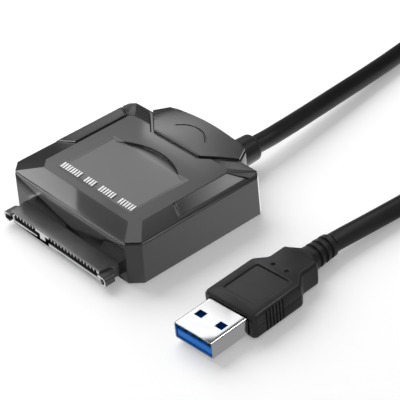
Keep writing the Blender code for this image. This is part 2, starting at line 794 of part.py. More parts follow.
def make_lower_shell(materials):
    shell = add_object("lower_shell", loft([
        leaning_ring(BASE_CHAMFER, 0.0),
        leaning_ring(0.0, BASE_CHAMFER),
        leaning_ring(0.0, RIM_HEIGHT - RIM_CHAMFER),
        leaning_ring(RIM_CHAMFER, RIM_HEIGHT),
    ]), materials["housing"])
    combine(shell, "DIFFERENCE", make_cutter("base_hollow", prism(
        offset_outline(housing_outline(), WALL), FLOOR, RIM_HEIGHT + CUT_MARGIN)))
    combine(shell, "UNION", make_cutter("socket_posts", upright_posts(
        FLOOR / 2, SOCKET_HEIGHT, SOCKET_RADIUS, SOCKET_RADIUS)))
    combine(shell, "DIFFERENCE", make_cutter("socket_bores", upright_posts(
        SOCKET_FLOOR, SOCKET_HEIGHT + CUT_MARGIN, PEG_RADIUS + SEAT_GAP, PEG_RADIUS + SEAT_GAP)))
    ribs = bmesh.new()
    for side in (1, -1):
        middle = side * RIB_SPREAD / 2
        add_box(ribs, (middle - RIB_WIDTH / 2, BOARD_FRONT + RIB_WIDTH, FLOOR / 2),
                (middle + RIB_WIDTH / 2, BOARD_BACK - RIB_WIDTH, FLOOR + RIB_HEIGHT))
    combine(shell, "UNION", make_cutter("board_ribs", ribs))
    bed = CONNECTOR_ROOT_WIDTH / 2 + SEAT_GAP
    wide = OPENING_WIDTH / 2
    wall_back = HOUSING_FRONT + WALL + SEAT_GAP
    right = [
        (wide, HOUSING_FRONT - FRONT_LEAN - CUT_MARGIN),
        (wide, wall_back),
        (bed, wall_back),
        (bed, CONNECTOR_BACK + SEAT_GAP),
    ]
    combine(shell, "DIFFERENCE", make_cutter("connector_opening", prism(
        right + mirrored(right), CONNECTOR_BOTTOM - SEAT_GAP, CONNECTOR_TOP + SEAT_GAP)))
    slot_half = RELIEF_NECK_RADIUS + SEAT_GAP
    combine(shell, "DIFFERENCE", make_cutter("lead_slot", relief_slot(
        slot_half, RELIEF_HEIGHT - slot_half, RIM_HEIGHT + CUT_MARGIN,
        TAIL_END - 2 * WALL, TAIL_END + TAIL_BULGE + CUT_MARGIN)))
    return shell


# Drive connector

def contact_places(count, left):
    """Middle of each contact along X, centred in a tongue slot that starts at left."""
    return [left + i * CONTACT_PITCH for i in range(count)]


def signal_places():
    span = (SIGNAL_CONTACTS - 1) * CONTACT_PITCH
    slot_left = -TONGUE_SPAN / 2
    free = SIGNAL_TONGUE - KEY_WIDTH - span
    return contact_places(SIGNAL_CONTACTS, slot_left + free / 2)


def power_places():
    span = (POWER_CONTACTS - 1) * CONTACT_PITCH
    free = POWER_TONGUE - KEY_WIDTH - span
    return contact_places(POWER_CONTACTS, POWER_LEFT + KEY_WIDTH + free / 2)


def wing_outline():
    """Section of the right-hand guide wing: a hood beside the block, turned down and hooked back inwards."""
    outer = WING_SPAN / 2
    inner_root = CONNECTOR_WIDTH / 2 - CONNECTOR_BEVEL
    top = CONNECTOR_TOP - WING_STEP
    foot = top - WING_DROP
    upper = (outer - WING_RADIUS, top - WING_RADIUS)
    lower = (outer - WING_RADIUS, foot + WING_RADIUS)
    inner_radius = WING_RADIUS - WING_THICKNESS
    quarter = math.pi / 2
    outside = arc(upper, WING_RADIUS, quarter, 0, WING_STEPS)
    outside += arc(lower, WING_RADIUS, 0, -quarter, WING_STEPS)
    inside = arc(lower, inner_radius, -quarter, 0, WING_STEPS)
    inside += arc(upper, inner_radius, 0, quarter, WING_STEPS)
    hook = outer - WING_HOOK
    tip = [(hook, foot), (hook, foot + WING_THICKNESS)]
    return [(inner_root, top)] + outside + tip + inside + [(inner_root, top - WING_THICKNESS)]


def make_sata_housing(materials):
    half = CONNECTOR_WIDTH / 2
    root = CONNECTOR_ROOT_WIDTH / 2
    bevel = CONNECTOR_BEVEL
    rings = []
    for y, width, inset in ((CONNECTOR_FRONT, half, bevel), (CONNECTOR_FRONT + bevel, half, 0.0),
                            (HOUSING_FRONT, root, 0.0), (CONNECTOR_BACK, root, 0.0)):
        low = CONNECTOR_BOTTOM + inset
        high = CONNECTOR_TOP - inset
        side = width - inset
        rings.append([(-side, y, low), (side, y, low), (side, y, high), (-side, y, high)])
    housing = add_object("sata_housing", loft(rings), materials["connector"])

    wings = bmesh.new()
    front = CONNECTOR_FRONT - WING_FORWARD
    root_x = CONNECTOR_WIDTH / 2 - CONNECTOR_BEVEL
    for side in (1, -1):
        rear = []
        for x, z in wing_outline():
            inwards = (WING_SPAN / 2 - x) / (WING_SPAN / 2 - root_x)
            rear.append((side * x, front + WING_LENGTH + WING_SLANT * inwards, z))
        add_loft(wings, [[(side * x, front, z) for x, z in wing_outline()], rear])
    combine(housing, "UNION", make_cutter("guide_wings", wings))

    slots = bmesh.new()
    tongues = ((-TONGUE_SPAN / 2, SIGNAL_RIGHT), (POWER_LEFT, TONGUE_SPAN / 2))
    front = CONNECTOR_FRONT - CUT_MARGIN
    mouth_back = CONNECTOR_FRONT + TONGUE_DEPTH
    for left, right in tongues:
        key = (right - KEY_WIDTH, right) if left < POWER_LEFT else (left, left + KEY_WIDTH)
        floor = [(left, TONGUE_BOTTOM), (key[0], TONGUE_BOTTOM), (key[0], TONGUE_BOTTOM - KEY_DEPTH),
                 (key[1], TONGUE_BOTTOM - KEY_DEPTH), (key[1], TONGUE_BOTTOM), (right, TONGUE_BOTTOM)]
        outline = sorted(set(floor), key=floor.index)
        outline += [(right, CHAMBER_BOTTOM), (left, CHAMBER_BOTTOM)]
        add_loft(slots, [[(x, y, z) for x, z in outline] for y in (front, mouth_back)])
    combine(housing, "DIFFERENCE", make_cutter("tongue_slots", slots))

    chambers = bmesh.new()
    for x in signal_places() + power_places():
        add_box(chambers, (x - CHAMBER_WIDTH / 2, front, CHAMBER_BOTTOM - CONTACT_GAP),
                (x + CHAMBER_WIDTH / 2, CONNECTOR_BACK + CUT_MARGIN, CHAMBER_TOP))
    combine(housing, "DIFFERENCE", make_cutter("contact_chambers", chambers))

    notches = bmesh.new()
    slot_half = LATCH_SLOT_WIDTH / 2
    slot_back = CONNECTOR_FRONT + LATCH_SLOT_WIDTH
    for x in LATCH_SLOT_PLACES:
        add_box(notches, (x - slot_half, front, CONNECTOR_BOTTOM - CUT_MARGIN),
                (x + slot_half, slot_back, CONNECTOR_BOTTOM + LATCH_SLOT_DEPTH))
    combine(housing, "DIFFERENCE", make_cutter("lip_notches", notches))
    return housing


def contact_profile():
    """Side view (y, z) of one contact: a sprung blade in its chamber, then a foot on the board."""
    low = CHAMBER_BOTTOM + CONTACT_GAP
    thick = CONTACT_THICKNESS
    tip = CONNECTOR_FRONT + CONTACT_SETBACK
    knee = tip + TONGUE_DEPTH / 3
    back = CONNECTOR_BACK + SEAT_GAP
    foot_low = PIECE_BOTTOM
    lift = CHAMBER_HEIGHT - 2 * CONTACT_GAP - thick
    lower = [(tip, low + lift), (knee, low), (mid_blade(), low + lift / 2), (back, low + lift / 2),
             (back + thick, foot_low), (back + CONTACT_FOOT, foot_low)]
    upper = [(back + CONTACT_FOOT, foot_low + thick), (back + 2 * thick, foot_low + thick),
             (back + thick, low + lift / 2 + thick), (mid_blade(), low + lift / 2 + thick),
             (knee, low + thick), (tip, low + lift + thick)]
    return lower + upper


def mid_blade():
    return CONNECTOR_FRONT + TONGUE_DEPTH


def make_contacts(name, places, materials):
    profile = contact_profile()
    blade = loft([[(x, y, z) for y, z in profile] for x in (-CONTACT_WIDTH / 2, CONTACT_WIDTH / 2)])
    return add_copies(name, blade, [(x, 0.0, 0.0) for x in places], materials["gold"])


def make_board_locks(materials):
    """Bent strips that stand beside the connector and reach back over the board's ears."""
    near, far = LOCK_NEAR, LOCK_FAR
    front = LOCK_FRONT
    back = BOARD_FRONT + LOCK_FOOT
    top = CONNECTOR_TOP - CONTACT_GAP
    thick = LOCK_THICKNESS
    plan = [
        (near, front),
        (far, front),
        (far, front + thick),
        (near + thick, front + thick),
        (near + thick, back),
        (near, back),
    ]
    for name, side in (("board_lock_right", 1), ("board_lock_left", -1)):
        strip = loft([[(side * x, y, z) for x, y in plan] for z in (top - LOCK_HEIGHT, top)])
        lock = add_object(name, strip, materials["steel"])
        ends = sorted((side * (near - CUT_MARGIN), side * (far + CUT_MARGIN)))
        under = box((ends[0], front + 3 * thick, top - LOCK_HEIGHT - CUT_MARGIN),
                    (ends[1], back + CUT_MARGIN, PIECE_BOTTOM))
        combine(lock, "DIFFERENCE", make_cutter(name + "_leg", under))


# Circuit board and what is on it

def make_circuit_board(materials):
    ear_back = BOARD_FRONT + BOARD_EAR_LENGTH
    right = [
        (BOARD_EAR_HALF_WIDTH, BOARD_FRONT),
        (BOARD_EAR_HALF_WIDTH, ear_back),
        (BOARD_HALF_WIDTH, ear_back),
        (BOARD_HALF_WIDTH, BOARD_BACK),
    ]
    board = add_object("circuit_board", prism(right + mirrored(right), BOARD_BOTTOM, BOARD_TOP),
                       materials["board"])
    room = SOCKET_RADIUS + SEAT_GAP
    combine(board, "DIFFERENCE", make_cutter("post_notches", upright_posts(
        FLOOR, BOARD_TOP + CUT_MARGIN, room, room)))
    return board


def package(size):
    """A moulded package whose sides lean in towards its top and bottom from a parting line."""
    lean = size[2] / 8
    rings = []
    for share, inset in ((0.0, lean), (0.45, 0.0), (1.0, lean)):
        hx = size[0] / 2 - inset
        hy = size[1] / 2 - inset
        z = size[2] * share
        rings.append([(-hx, -hy, z), (hx, -hy, z), (hx, hy, z), (-hx, hy, z)])
    return loft(rings)


def on_board(place):
    return (place[0], BOARD_MIDDLE + place[1], PIECE_BOTTOM)


def make_package(name, size, place, material):
    chip = add_object(name, package(size), material)
    chip.location = on_board(place)
    return chip


def make_bridge_chip(materials):
    chip = make_package("bridge_chip", CHIP_SIZE, CHIP_PLACE, materials["chip"])
    corner = CHIP_SIZE[0] / 2 - 3 * CHIP_DIMPLE_RADIUS
    centre = (CHIP_PLACE[0] - corner, BOARD_MIDDLE + CHIP_PLACE[1] - corner)
    circle = arc(centre, CHIP_DIMPLE_RADIUS, 0, 2 * math.pi * 11 / 12, 11)
    top = PIECE_BOTTOM + CHIP_SIZE[2]
    combine(chip, "DIFFERENCE", make_cutter("chip_dimple", prism(
        circle, top - CHIP_SIZE[2] / 8, top + CUT_MARGIN)))
    return chip


def make_crystal(materials):
    """A drawn can with round ends."""
    length, width, height = CRYSTAL_SIZE
    radius = width / 2
    run = length / 2 - radius
    x, y = CRYSTAL_PLACE[0], BOARD_MIDDLE + CRYSTAL_PLACE[1]
    outline = arc((x + run, y), radius, -math.pi / 2, math.pi / 2, 8)
    outline += arc((x - run, y), radius, math.pi / 2, 3 * math.pi / 2, 8)
    shrunk = offset_outline(outline, height / 5)
    can = loft([at_height(outline, PIECE_BOTTOM), at_height(outline, PIECE_BOTTOM + height * 0.8),
                at_height(shrunk, PIECE_BOTTOM + height)])
    return add_object("crystal", can, materials["steel"])


def make_inductor(materials):
    """A ferrite drum: two flanges and the wound waist between them."""
    x, y = INDUCTOR_PLACE[0], BOARD_MIDDLE + INDUCTOR_PLACE[1]
    low = INDUCTOR_HEIGHT / 5
    high = INDUCTOR_HEIGHT - low
    profile = [
        (0, INDUCTOR_RADIUS),
        (low, INDUCTOR_RADIUS),
        (low, INDUCTOR_WAIST),
        (high, INDUCTOR_WAIST),
        (high, INDUCTOR_RADIUS),
        (INDUCTOR_HEIGHT, INDUCTOR_RADIUS),
    ]
    rings = []
    for height, radius in profile:
        circle = arc((x, y), radius, 0, 2 * math.pi * 15 / 16, 15)
        rings.append(at_height(circle, PIECE_BOTTOM + height))
    return add_object("power_inductor", loft(rings), materials["ferrite"])


# Lead, its strain relief and the wires inside the housing

def relief_wall():
    """Outer and inner face of the back wall where the strain relief passes it."""
    across = RELIEF_SIDE / (TAIL_BACK_WIDTH / 2)
    outer = TAIL_END + TAIL_BULGE * (1 - across * across)
    return outer, outer - WALL


def relief_ends():
    outer, inner = relief_wall()
    collar = TAIL_END + TAIL_BULGE + SEAT_GAP
    return inner - 2 * SEAT_GAP - RELIEF_FLANGE, collar + RELIEF_LENGTH


def make_cable_boot(materials):
    outer, inner = relief_wall()
    collar = TAIL_END + TAIL_BULGE + SEAT_GAP
    flange_back = inner - 2 * SEAT_GAP
    start, end = relief_ends()
    profile = [(start, 0.0), (start, RELIEF_FLANGE_RADIUS), (flange_back, RELIEF_FLANGE_RADIUS),
               (flange_back, RELIEF_NECK_RADIUS), (collar, RELIEF_NECK_RADIUS), (collar, RELIEF_RADIUS)]
    for y, r in arc((end - RELIEF_ROUND, RELIEF_END_RADIUS - RELIEF_ROUND), RELIEF_ROUND, math.pi / 2, 0, 5):
        profile.append((y, r))
    profile.append((end, 0.0))
    mesh = turned(profile, (RELIEF_SIDE, RELIEF_HEIGHT), RELIEF_SIDES)
    return add_object("cable_boot", mesh, materials["moulding"], smooth_angle=math.radians(40))


def smooth_points(points, steps):
    """Points along a curve that passes through the given ones, with tangents from their neighbours."""
    line = [Vector(p) for p in points]
    padded = [2 * line[0] - line[1]] + line + [2 * line[-1] - line[-2]]
    result = []
    for a, b, c, d in zip(padded, padded[1:], padded[2:], padded[3:]):
        for i in range(steps):
            t = i / steps
            result.append(0.5 * (2 * b + (c - a) * t + (2 * a - 5 * b + 4 * c - d) * t ** 2
                                 + (3 * b - a - 3 * c + d) * t ** 3))
    result.append(line[-1])
    return result


def even_points(points, spacing):
    """Reads points at even spacing along a fine polyline."""
    total = sum((b - a).length for a, b in zip(points, points[1:]))
    count = max(2, round(total / spacing))
    wanted = [total * i / count for i in range(count + 1)]
    result = [points[0]]
    walked = 0.0
    i = 1
    for a, b in zip(points, points[1:]):
        step = (b - a).length
        while i < count and walked + step >= wanted[i]:
            result.append(a.lerp(b, (wanted[i] - walked) / step))
            i += 1
        walked += step
    result.append(points[-1])
    return result


def add_tube(name, path, radius, material, resolution):
    """A curve object along the path, thickened to a round tube with closed ends."""
    curve = bpy.data.curves.new(name, "CURVE")
    curve.dimensions = "3D"
    curve.bevel_depth = radius
    curve.bevel_resolution = resolution
    curve.use_fill_caps = True
    spline = curve.splines.new("POLY")
    spline.points.add(len(path) - 1)
    for point, place in zip(spline.points, path):
        point.co = (*place, 1.0)
    curve.materials.append(material)
    obj = bpy.data.objects.new(name, curve)
    bpy.context.scene.collection.objects.link(obj)
    return obj


def plug_point(along, height=0.0):
    """A point on the plug's axis, in the object's own frame."""
    x, y = PLUG_MOUTH
    return (x - math.sin(PLUG_TURN) * along, y + math.cos(PLUG_TURN) * along, PLUG_AXIS_HEIGHT + height)


def make_cable(materials):
    start = relief_ends()[1] + SEAT_GAP
    route = [(RELIEF_SIDE, start, RELIEF_HEIGHT)] + CORD_BEND_POINTS + [plug_point(BOOT_BACK + SEAT_GAP)]
    path = even_points(smooth_points(route, CORD_CURVE_STEPS), CORD_POINT_SPACING)
    return add_tube("cable", path, CORD_DIAMETER / 2, materials["jacket"], 3)


def make_inner_wires(materials):
    """Two single wires and three jacketed pairs, from the strain relief to pads at the board's back edge."""
    start = relief_ends()[0] - SEAT_GAP
    landing = BOARD_BACK - WIRE_LANDING
    for i, (name, radius) in enumerate(WIRES):
        order = i - (len(WIRES) - 1) / 2
        root_x = RELIEF_SIDE + order * WIRE_ROOT_PITCH
        pad_x = RELIEF_SIDE + order * WIRE_PAD_PITCH
        low = BOARD_TOP + CONTACT_GAP + radius
        middle = ((root_x + pad_x) / 2, (start + landing + WIRE_LEAD) / 2, (RELIEF_HEIGHT + low) / 2)
        points = [
            (root_x, start, RELIEF_HEIGHT),
            (root_x, start - WIRE_LEAD, RELIEF_HEIGHT),
            middle,
            (pad_x, landing + 2 * WIRE_LEAD, low),
            (pad_x, landing, low),
        ]
        add_tube(name, smooth_points(points, 3), radius, materials["wire"], 1)


# Plug, built along its own Y axis and placed by an empty

def rounded_section(half_width, half_height, corner, y):
    """A rectangle with round corners, anticlockwise seen from the mouth."""
    corner = min(corner, half_width, half_height)
    points = []
    for cx, cz, start in ((1, 1, 0), (-1, 1, 1), (-1, -1, 2), (1, -1, 3)):
        centre = (cx * (half_width - corner), cz * (half_height - corner))
        half_step = math.pi / 4 / (SECTION_CORNER_STEPS + 1)
        first = start * math.pi / 2 + half_step
        points += arc(centre, corner, first, first + math.pi / 2 - 2 * half_step, SECTION_CORNER_STEPS)
    return [(x, y, z) for x, z in points]


def grip_sections():
    """Sections of the moulding from its front face to the end of its boot."""
    half_w, half_h = GRIP_WIDTH / 2, GRIP_HEIGHT / 2
    edge = GRIP_EDGE
    shoulder = SHOULDER_WIDTH / 2
    corner = GRIP_EDGE * 1.1
    sections = [
        (GRIP_FRONT, half_w - edge * 0.7, half_h - edge * 0.7, corner),
        (GRIP_FRONT + edge * 0.3, half_w - edge * 0.2, half_h - edge * 0.2, corner),
        (GRIP_FRONT + edge, half_w, half_h, corner),
        (GRIP_BACK - edge * 0.6, half_w, half_h, corner),
        (GRIP_BACK, half_w - edge * 0.3, half_h, corner),
        (SHOULDER_FRONT - edge * 0.5, shoulder + edge * 0.3, half_h, corner),
        (SHOULDER_FRONT + edge * 0.3, shoulder, half_h, corner),
        (SHOULDER_BACK - edge * 0.6, shoulder, half_h, corner),
        (SHOULDER_BACK, shoulder - edge * 0.4, half_h - edge * 0.2, corner * 1.3),
        (BOOT_FRONT, BOOT_RADIUS, BOOT_RADIUS, BOOT_RADIUS),
    ]
    for i in range(RING_COUNT):
        start = BOOT_FRONT + RING_SETBACK + i * RING_PITCH
        end = start + RING_WIDTH
        for y, sunk in ((start, 0.0), (start, RING_DEPTH), (end, RING_DEPTH), (end, 0.0)):
            share = (y - BOOT_FRONT) / BOOT_LENGTH
            radius = BOOT_RADIUS + (BOOT_END_RADIUS - BOOT_RADIUS) * share - sunk
            sections.append((y, radius, radius, radius))
    sections.append((BOOT_BACK - BOOT_ROUND, BOOT_END_RADIUS, BOOT_END_RADIUS, BOOT_END_RADIUS))
    tip = BOOT_END_RADIUS - BOOT_ROUND * 0.7
    sections.append((BOOT_BACK, tip, tip, tip))
    return [rounded_section(w, h, c, y) for y, w, h, c in sections]


def make_plug_overmould(materials, frame):
    grip = add_object("plug_overmould", loft(grip_sections()), materials["moulding"], frame,
                      math.radians(35))
    half_w, half_h = GRIP_WIDTH / 2, GRIP_HEIGHT / 2
    pocket = loft([rounded_section(SLEEVE_WIDTH / 2 + SLEEVE_GAP, SLEEVE_HEIGHT / 2 + SLEEVE_GAP,
                                   SLEEVE_CORNER + SLEEVE_GAP, y)
                   for y in (GRIP_FRONT - CUT_MARGIN, GRIP_FRONT + SLEEVE_BURIED + SEAT_GAP)])
    combine(grip, "DIFFERENCE", make_cutter("sleeve_pocket", pocket, frame))
    panel_front = GRIP_FRONT + PANEL_SETBACK
    centre_y = panel_front + PANEL_LENGTH / 2
    corners = []
    for cx, cy, start in ((1, 1, 0), (-1, 1, 1), (-1, -1, 2), (1, -1, 3)):
        centre = (cx * (PANEL_WIDTH / 2 - PANEL_CORNER), centre_y + cy * (PANEL_LENGTH / 2 - PANEL_CORNER))
        corners += arc(centre, PANEL_CORNER, start * math.pi / 2, (start + 1) * math.pi / 2, 4)
    combine(grip, "DIFFERENCE", make_cutter("panel_recess", prism(
        corners, half_h - PANEL_DEPTH, half_h + CUT_MARGIN), frame))
    grooves = bmesh.new()
    for i in range(GROOVE_COUNT):
        y = GRIP_FRONT + GROOVE_SETBACK + i * GROOVE_PITCH
        for side in (1, -1):
            xs = sorted((side * (half_w - GROOVE_DEPTH), side * (half_w + CUT_MARGIN)))
            add_box(grooves, (xs[0], y, -GROOVE_HEIGHT / 2), (xs[1], y + GROOVE_WIDTH, GROOVE_HEIGHT / 2))
    combine(grip, "DIFFERENCE", make_cutter("grip_grooves", grooves, frame))
    parting = bmesh.new()
    for side in (1, -1):
        xs = sorted((side * (half_w - PARTING_DEPTH), side * (half_w + CUT_MARGIN)))
        add_box(parting, (xs[0], GRIP_FRONT + GRIP_EDGE, -PARTING_WIDTH / 2),
                (xs[1], GRIP_BACK - GRIP_EDGE, PARTING_WIDTH / 2))
    combine(grip, "DIFFERENCE", make_cutter("parting_line", parting, frame))
    dots = bmesh.new()
    for side in (1, -1):
        circle = arc((side * DOT_SPREAD / 2, GRIP_BACK + DOT_SETBACK - DOT_RADIUS), DOT_RADIUS, 0,
                     2 * math.pi * 11 / 12, 11)
        add_loft(dots, [at_height(circle, half_h - DOT_DEPTH), at_height(circle, half_h + CUT_MARGIN)])
    combine(grip, "DIFFERENCE", make_cutter("moulding_dots", dots, frame))
    return grip


def make_plug_shell(materials, frame):
    """The folded steel sleeve: a thin rectangular tube with latch windows above and below."""
    end = SLEEVE_EXPOSED + SLEEVE_BURIED
    half_w, half_h = SLEEVE_WIDTH / 2, SLEEVE_HEIGHT / 2
    tube = loft([rounded_section(half_w, half_h, SLEEVE_CORNER, y) for y in (0.0, end)])
    sleeve = add_object("plug_shell", tube, materials["steel"], frame, math.radians(35))
    bore = loft([rounded_section(half_w - SLEEVE_WALL, half_h - SLEEVE_WALL, SLEEVE_CORNER - SLEEVE_WALL, y)
                 for y in (-CUT_MARGIN, end + CUT_MARGIN)])
    combine(sleeve, "DIFFERENCE", make_cutter("sleeve_bore", bore, frame))
    windows = bmesh.new()
    for side in (1, -1):
        for low, high in ((half_h - 2 * SLEEVE_WALL, half_h + CUT_MARGIN),
                          (-half_h - CUT_MARGIN, -half_h + 2 * SLEEVE_WALL)):
            x = side * WINDOW_SPREAD / 2
            add_box(windows, (x - WINDOW_WIDTH / 2, WINDOW_SETBACK - WINDOW_LENGTH / 2, low),
                    (x + WINDOW_WIDTH / 2, WINDOW_SETBACK + WINDOW_LENGTH / 2, high))
    combine(sleeve, "DIFFERENCE", make_cutter("latch_windows", windows, frame))
    return sleeve


def tongue_top():
    return -SLEEVE_HEIGHT / 2 + SLEEVE_WALL + CONTACT_GAP + INSULATOR_THICKNESS


def make_plug_insulator(materials, frame):
    """The tongue that carries the contacts, with a full-height block behind it."""
    half = SLEEVE_WIDTH / 2 - SLEEVE_WALL - CONTACT_GAP
    floor = -SLEEVE_HEIGHT / 2 + SLEEVE_WALL + CONTACT_GAP
    roof = SLEEVE_HEIGHT / 2 - SLEEVE_WALL - CONTACT_GAP
    end = SLEEVE_EXPOSED + SLEEVE_BURIED - SEAT_GAP
    top = tongue_top()
    bevel = CONTACT_GAP
    side_view = [
        (INSULATOR_SETBACK, floor + bevel),
        (INSULATOR_SETBACK + bevel, floor),
        (end, floor),
        (end, roof),
        (INSULATOR_BLOCK, roof),
        (INSULATOR_BLOCK, top),
        (INSULATOR_SETBACK + bevel, top),
        (INSULATOR_SETBACK, top - bevel),
    ]
    body = loft([[(x, y, z) for y, z in side_view] for x in (-half, half)])
    insulator = add_object("plug_insulator", body, materials["blue"], frame)
    grooves = bmesh.new()
    for x in PAD_CONTACTS:
        add_box(grooves, (x - PAD_WIDTH / 2 - CONTACT_GAP, PAD_SETBACK - CONTACT_GAP, top - PAD_THICKNESS),
                (x + PAD_WIDTH / 2 + CONTACT_GAP, PAD_SETBACK + PAD_LENGTH + CONTACT_GAP, top + CUT_MARGIN))
    combine(insulator, "DIFFERENCE", make_cutter("pad_grooves", grooves, frame))
    return insulator


def make_plug_pads(materials, frame):
    bottom = tongue_top() - PAD_THICKNESS + CONTACT_GAP
    pad = box((-PAD_WIDTH / 2, PAD_SETBACK, bottom),
              (PAD_WIDTH / 2, PAD_SETBACK + PAD_LENGTH, bottom + PAD_THICKNESS))
    add_copies("plug_pad_contact", pad, [(x, 0.0, 0.0) for x in PAD_CONTACTS], materials["gold"], frame)


def make_plug_springs(materials, frame):
    """Five small sprung bows behind the pads."""
    bottom = tongue_top() + CONTACT_GAP
    end = INSULATOR_BLOCK - CONTACT_GAP
    thick = SPRING_THICKNESS
    crest = bottom + SPRING_HEIGHT
    lower = [(end, bottom), (end - SPRING_LENGTH * 0.3, bottom), (end - SPRING_LENGTH * 0.65, crest - thick),
             (end - SPRING_LENGTH, bottom + thick)]
    upper = [(end - SPRING_LENGTH, bottom + 2 * thick), (end - SPRING_LENGTH * 0.65, crest),
             (end - SPRING_LENGTH * 0.3, bottom + thick), (end, bottom + thick)]
    bow = loft([[(x, y, z) for y, z in lower + upper] for x in (-SPRING_WIDTH / 2, SPRING_WIDTH / 2)])
    places = [((i - (SPRING_CONTACTS - 1) / 2) * SPRING_PITCH, 0.0, 0.0) for i in range(SPRING_CONTACTS)]
    add_copies("plug_spring_contact", bow, places, materials["gold"], frame)


def make_plug(materials):
    frame = bpy.data.objects.new("plug_frame", None)
    bpy.context.scene.collection.objects.link(frame)
    frame.location = (*PLUG_MOUTH, PLUG_AXIS_HEIGHT)
    frame.rotation_euler = (0.0, 0.0, PLUG_TURN)
    make_plug_overmould(materials, frame)
    make_plug_shell(materials, frame)
    make_plug_insulator(materials, frame)
    make_plug_pads(materials, frame)
    make_plug_springs(materials, frame)


def main():
    clear_scene()
    materials = make_materials()
    make_upper_shell(materials)
    make_lower_shell(materials)
    make_sata_housing(materials)
    make_contacts("signal_contact", signal_places(), materials)
    make_contacts("power_contact", power_places(), materials)
    make_board_locks(materials)
    make_circuit_board(materials)
    make_bridge_chip(materials)
    make_package("memory_chip", MEMORY_SIZE, MEMORY_PLACE, materials["chip"])
    make_package("voltage_regulator", REGULATOR_SIZE, REGULATOR_PLACE, materials["chip"])
    make_crystal(materials)
    make_inductor(materials)
    add_copies("capacitor", package(CAPACITOR_SIZE), [on_board(p) for p in CAPACITOR_PLACES],
               materials["ceramic"])
    add_copies("resistor", package(RESISTOR_SIZE), [on_board(p) for p in RESISTOR_PLACES], materials["chip"])
    make_cable_boot(materials)
    make_inner_wires(materials)
    make_cable(materials)
    make_plug(materials)


main()
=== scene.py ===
"""Looks of a drive adapter: dark grey housing with a drive connector, a short black lead and a steel plug.

Every piece keeps the place that it has in the frame: metres, +Z up, the connector towards -Y.
"""
import math

import bmesh
import bpy
import numpy as np
from bpy.props import FloatProperty, FloatVectorProperty, IntProperty, PointerProperty
from mathutils import Matrix, Vector


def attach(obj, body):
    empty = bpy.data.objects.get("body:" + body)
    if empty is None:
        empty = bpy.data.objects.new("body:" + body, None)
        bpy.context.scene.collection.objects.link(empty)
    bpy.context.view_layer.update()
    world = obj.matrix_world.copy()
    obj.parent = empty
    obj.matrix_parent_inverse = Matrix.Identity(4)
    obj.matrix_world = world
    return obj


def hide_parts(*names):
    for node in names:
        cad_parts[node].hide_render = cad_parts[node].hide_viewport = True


bl_info = {
    "name": "Drive adapter looks",
    "version": (1, 0, 0),
    "blender": (4, 5, 0),
    "location": "View3D > Sidebar > Adapter",
    "description": "Dresses the drive adapter and sets up its studio",
    "category": "Object",
}

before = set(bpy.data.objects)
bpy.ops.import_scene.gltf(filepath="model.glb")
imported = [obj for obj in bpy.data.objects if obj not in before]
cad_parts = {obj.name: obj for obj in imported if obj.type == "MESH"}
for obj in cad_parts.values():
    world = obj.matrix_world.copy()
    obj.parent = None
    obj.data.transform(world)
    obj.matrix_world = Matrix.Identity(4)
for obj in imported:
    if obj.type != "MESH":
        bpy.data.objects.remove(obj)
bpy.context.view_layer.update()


# Node helpers

class NodeKit:
    """Short calls that add nodes to one material and join them."""

    def __init__(self, name):
        self.material = bpy.data.materials.new(name)
        self.material.use_nodes = True
        self.tree = self.material.node_tree
        self.shader = self.tree.nodes["Principled BSDF"]

    def add(self, kind, **settings):
        node = self.tree.nodes.new(kind)
        for key, value in settings.items():
            setattr(node, key, value)
        return node

    def join(self, output, target):
        self.tree.links.new(output, target)

    def feed(self, target, value):
        if isinstance(value, bpy.types.NodeSocket):
            self.join(value, target)
        else:
            target.default_value = value

    def math(self, operation, a, b=0.0, c=0.0):
        node = self.add("ShaderNodeMath", operation=operation)
        for socket, value in zip(node.inputs, (a, b, c)):
            self.feed(socket, value)
        return node.outputs[0]

    def position(self):
        """Object coordinates split into x, y and z."""
        coordinates = self.add("ShaderNodeTexCoord")
        parts = self.add("ShaderNodeSeparateXYZ")
        self.join(coordinates.outputs["Object"], parts.inputs[0])
        return coordinates.outputs["Object"], parts.outputs

    def noise(self, vector, scale, detail=2.0, roughness=0.5):
        node = self.add("ShaderNodeTexNoise")
        self.join(vector, node.inputs["Vector"])
        node.inputs["Scale"].default_value = scale
        node.inputs["Detail"].default_value = detail
        node.inputs["Roughness"].default_value = roughness
        return node.outputs["Fac"]

    def ramp(self, value, low, high, to_low=0.0, to_high=1.0, smooth=True):
        node = self.add("ShaderNodeMapRange")
        node.interpolation_type = "SMOOTHSTEP" if smooth else "LINEAR"
        self.feed(node.inputs["Value"], value)
        node.inputs["From Min"].default_value = low
        node.inputs["From Max"].default_value = high
        node.inputs["To Min"].default_value = to_low
        node.inputs["To Max"].default_value = to_high
        return node.outputs["Result"]

    def mix(self, factor, first, second):
        node = self.add("ShaderNodeMix", data_type="RGBA")
        self.feed(node.inputs["Factor"], factor)
        self.feed(node.inputs[6], first)
        self.feed(node.inputs[7], second)
        return node.outputs[2]

    def bump(self, height, strength, distance):
        node = self.add("ShaderNodeBump")
        node.inputs["Strength"].default_value = strength
        node.inputs["Distance"].default_value = distance
        self.join(height, node.inputs["Height"])
        self.join(node.outputs["Normal"], self.shader.inputs["Normal"])

    def finish(self, colour=None, roughness=None, **constants):
        if colour is not None:
            self.feed(self.shader.inputs["Base Color"], colour)
        if roughness is not None:
            self.feed(self.shader.inputs["Roughness"], roughness)
        for key, value in constants.items():
            self.shader.inputs[key.replace("_", " ")].default_value = value
        return self.material


def scaled(colour, factor):
    return (colour[0] * factor, colour[1] * factor, colour[2] * factor, 1.0)


# Surface helpers

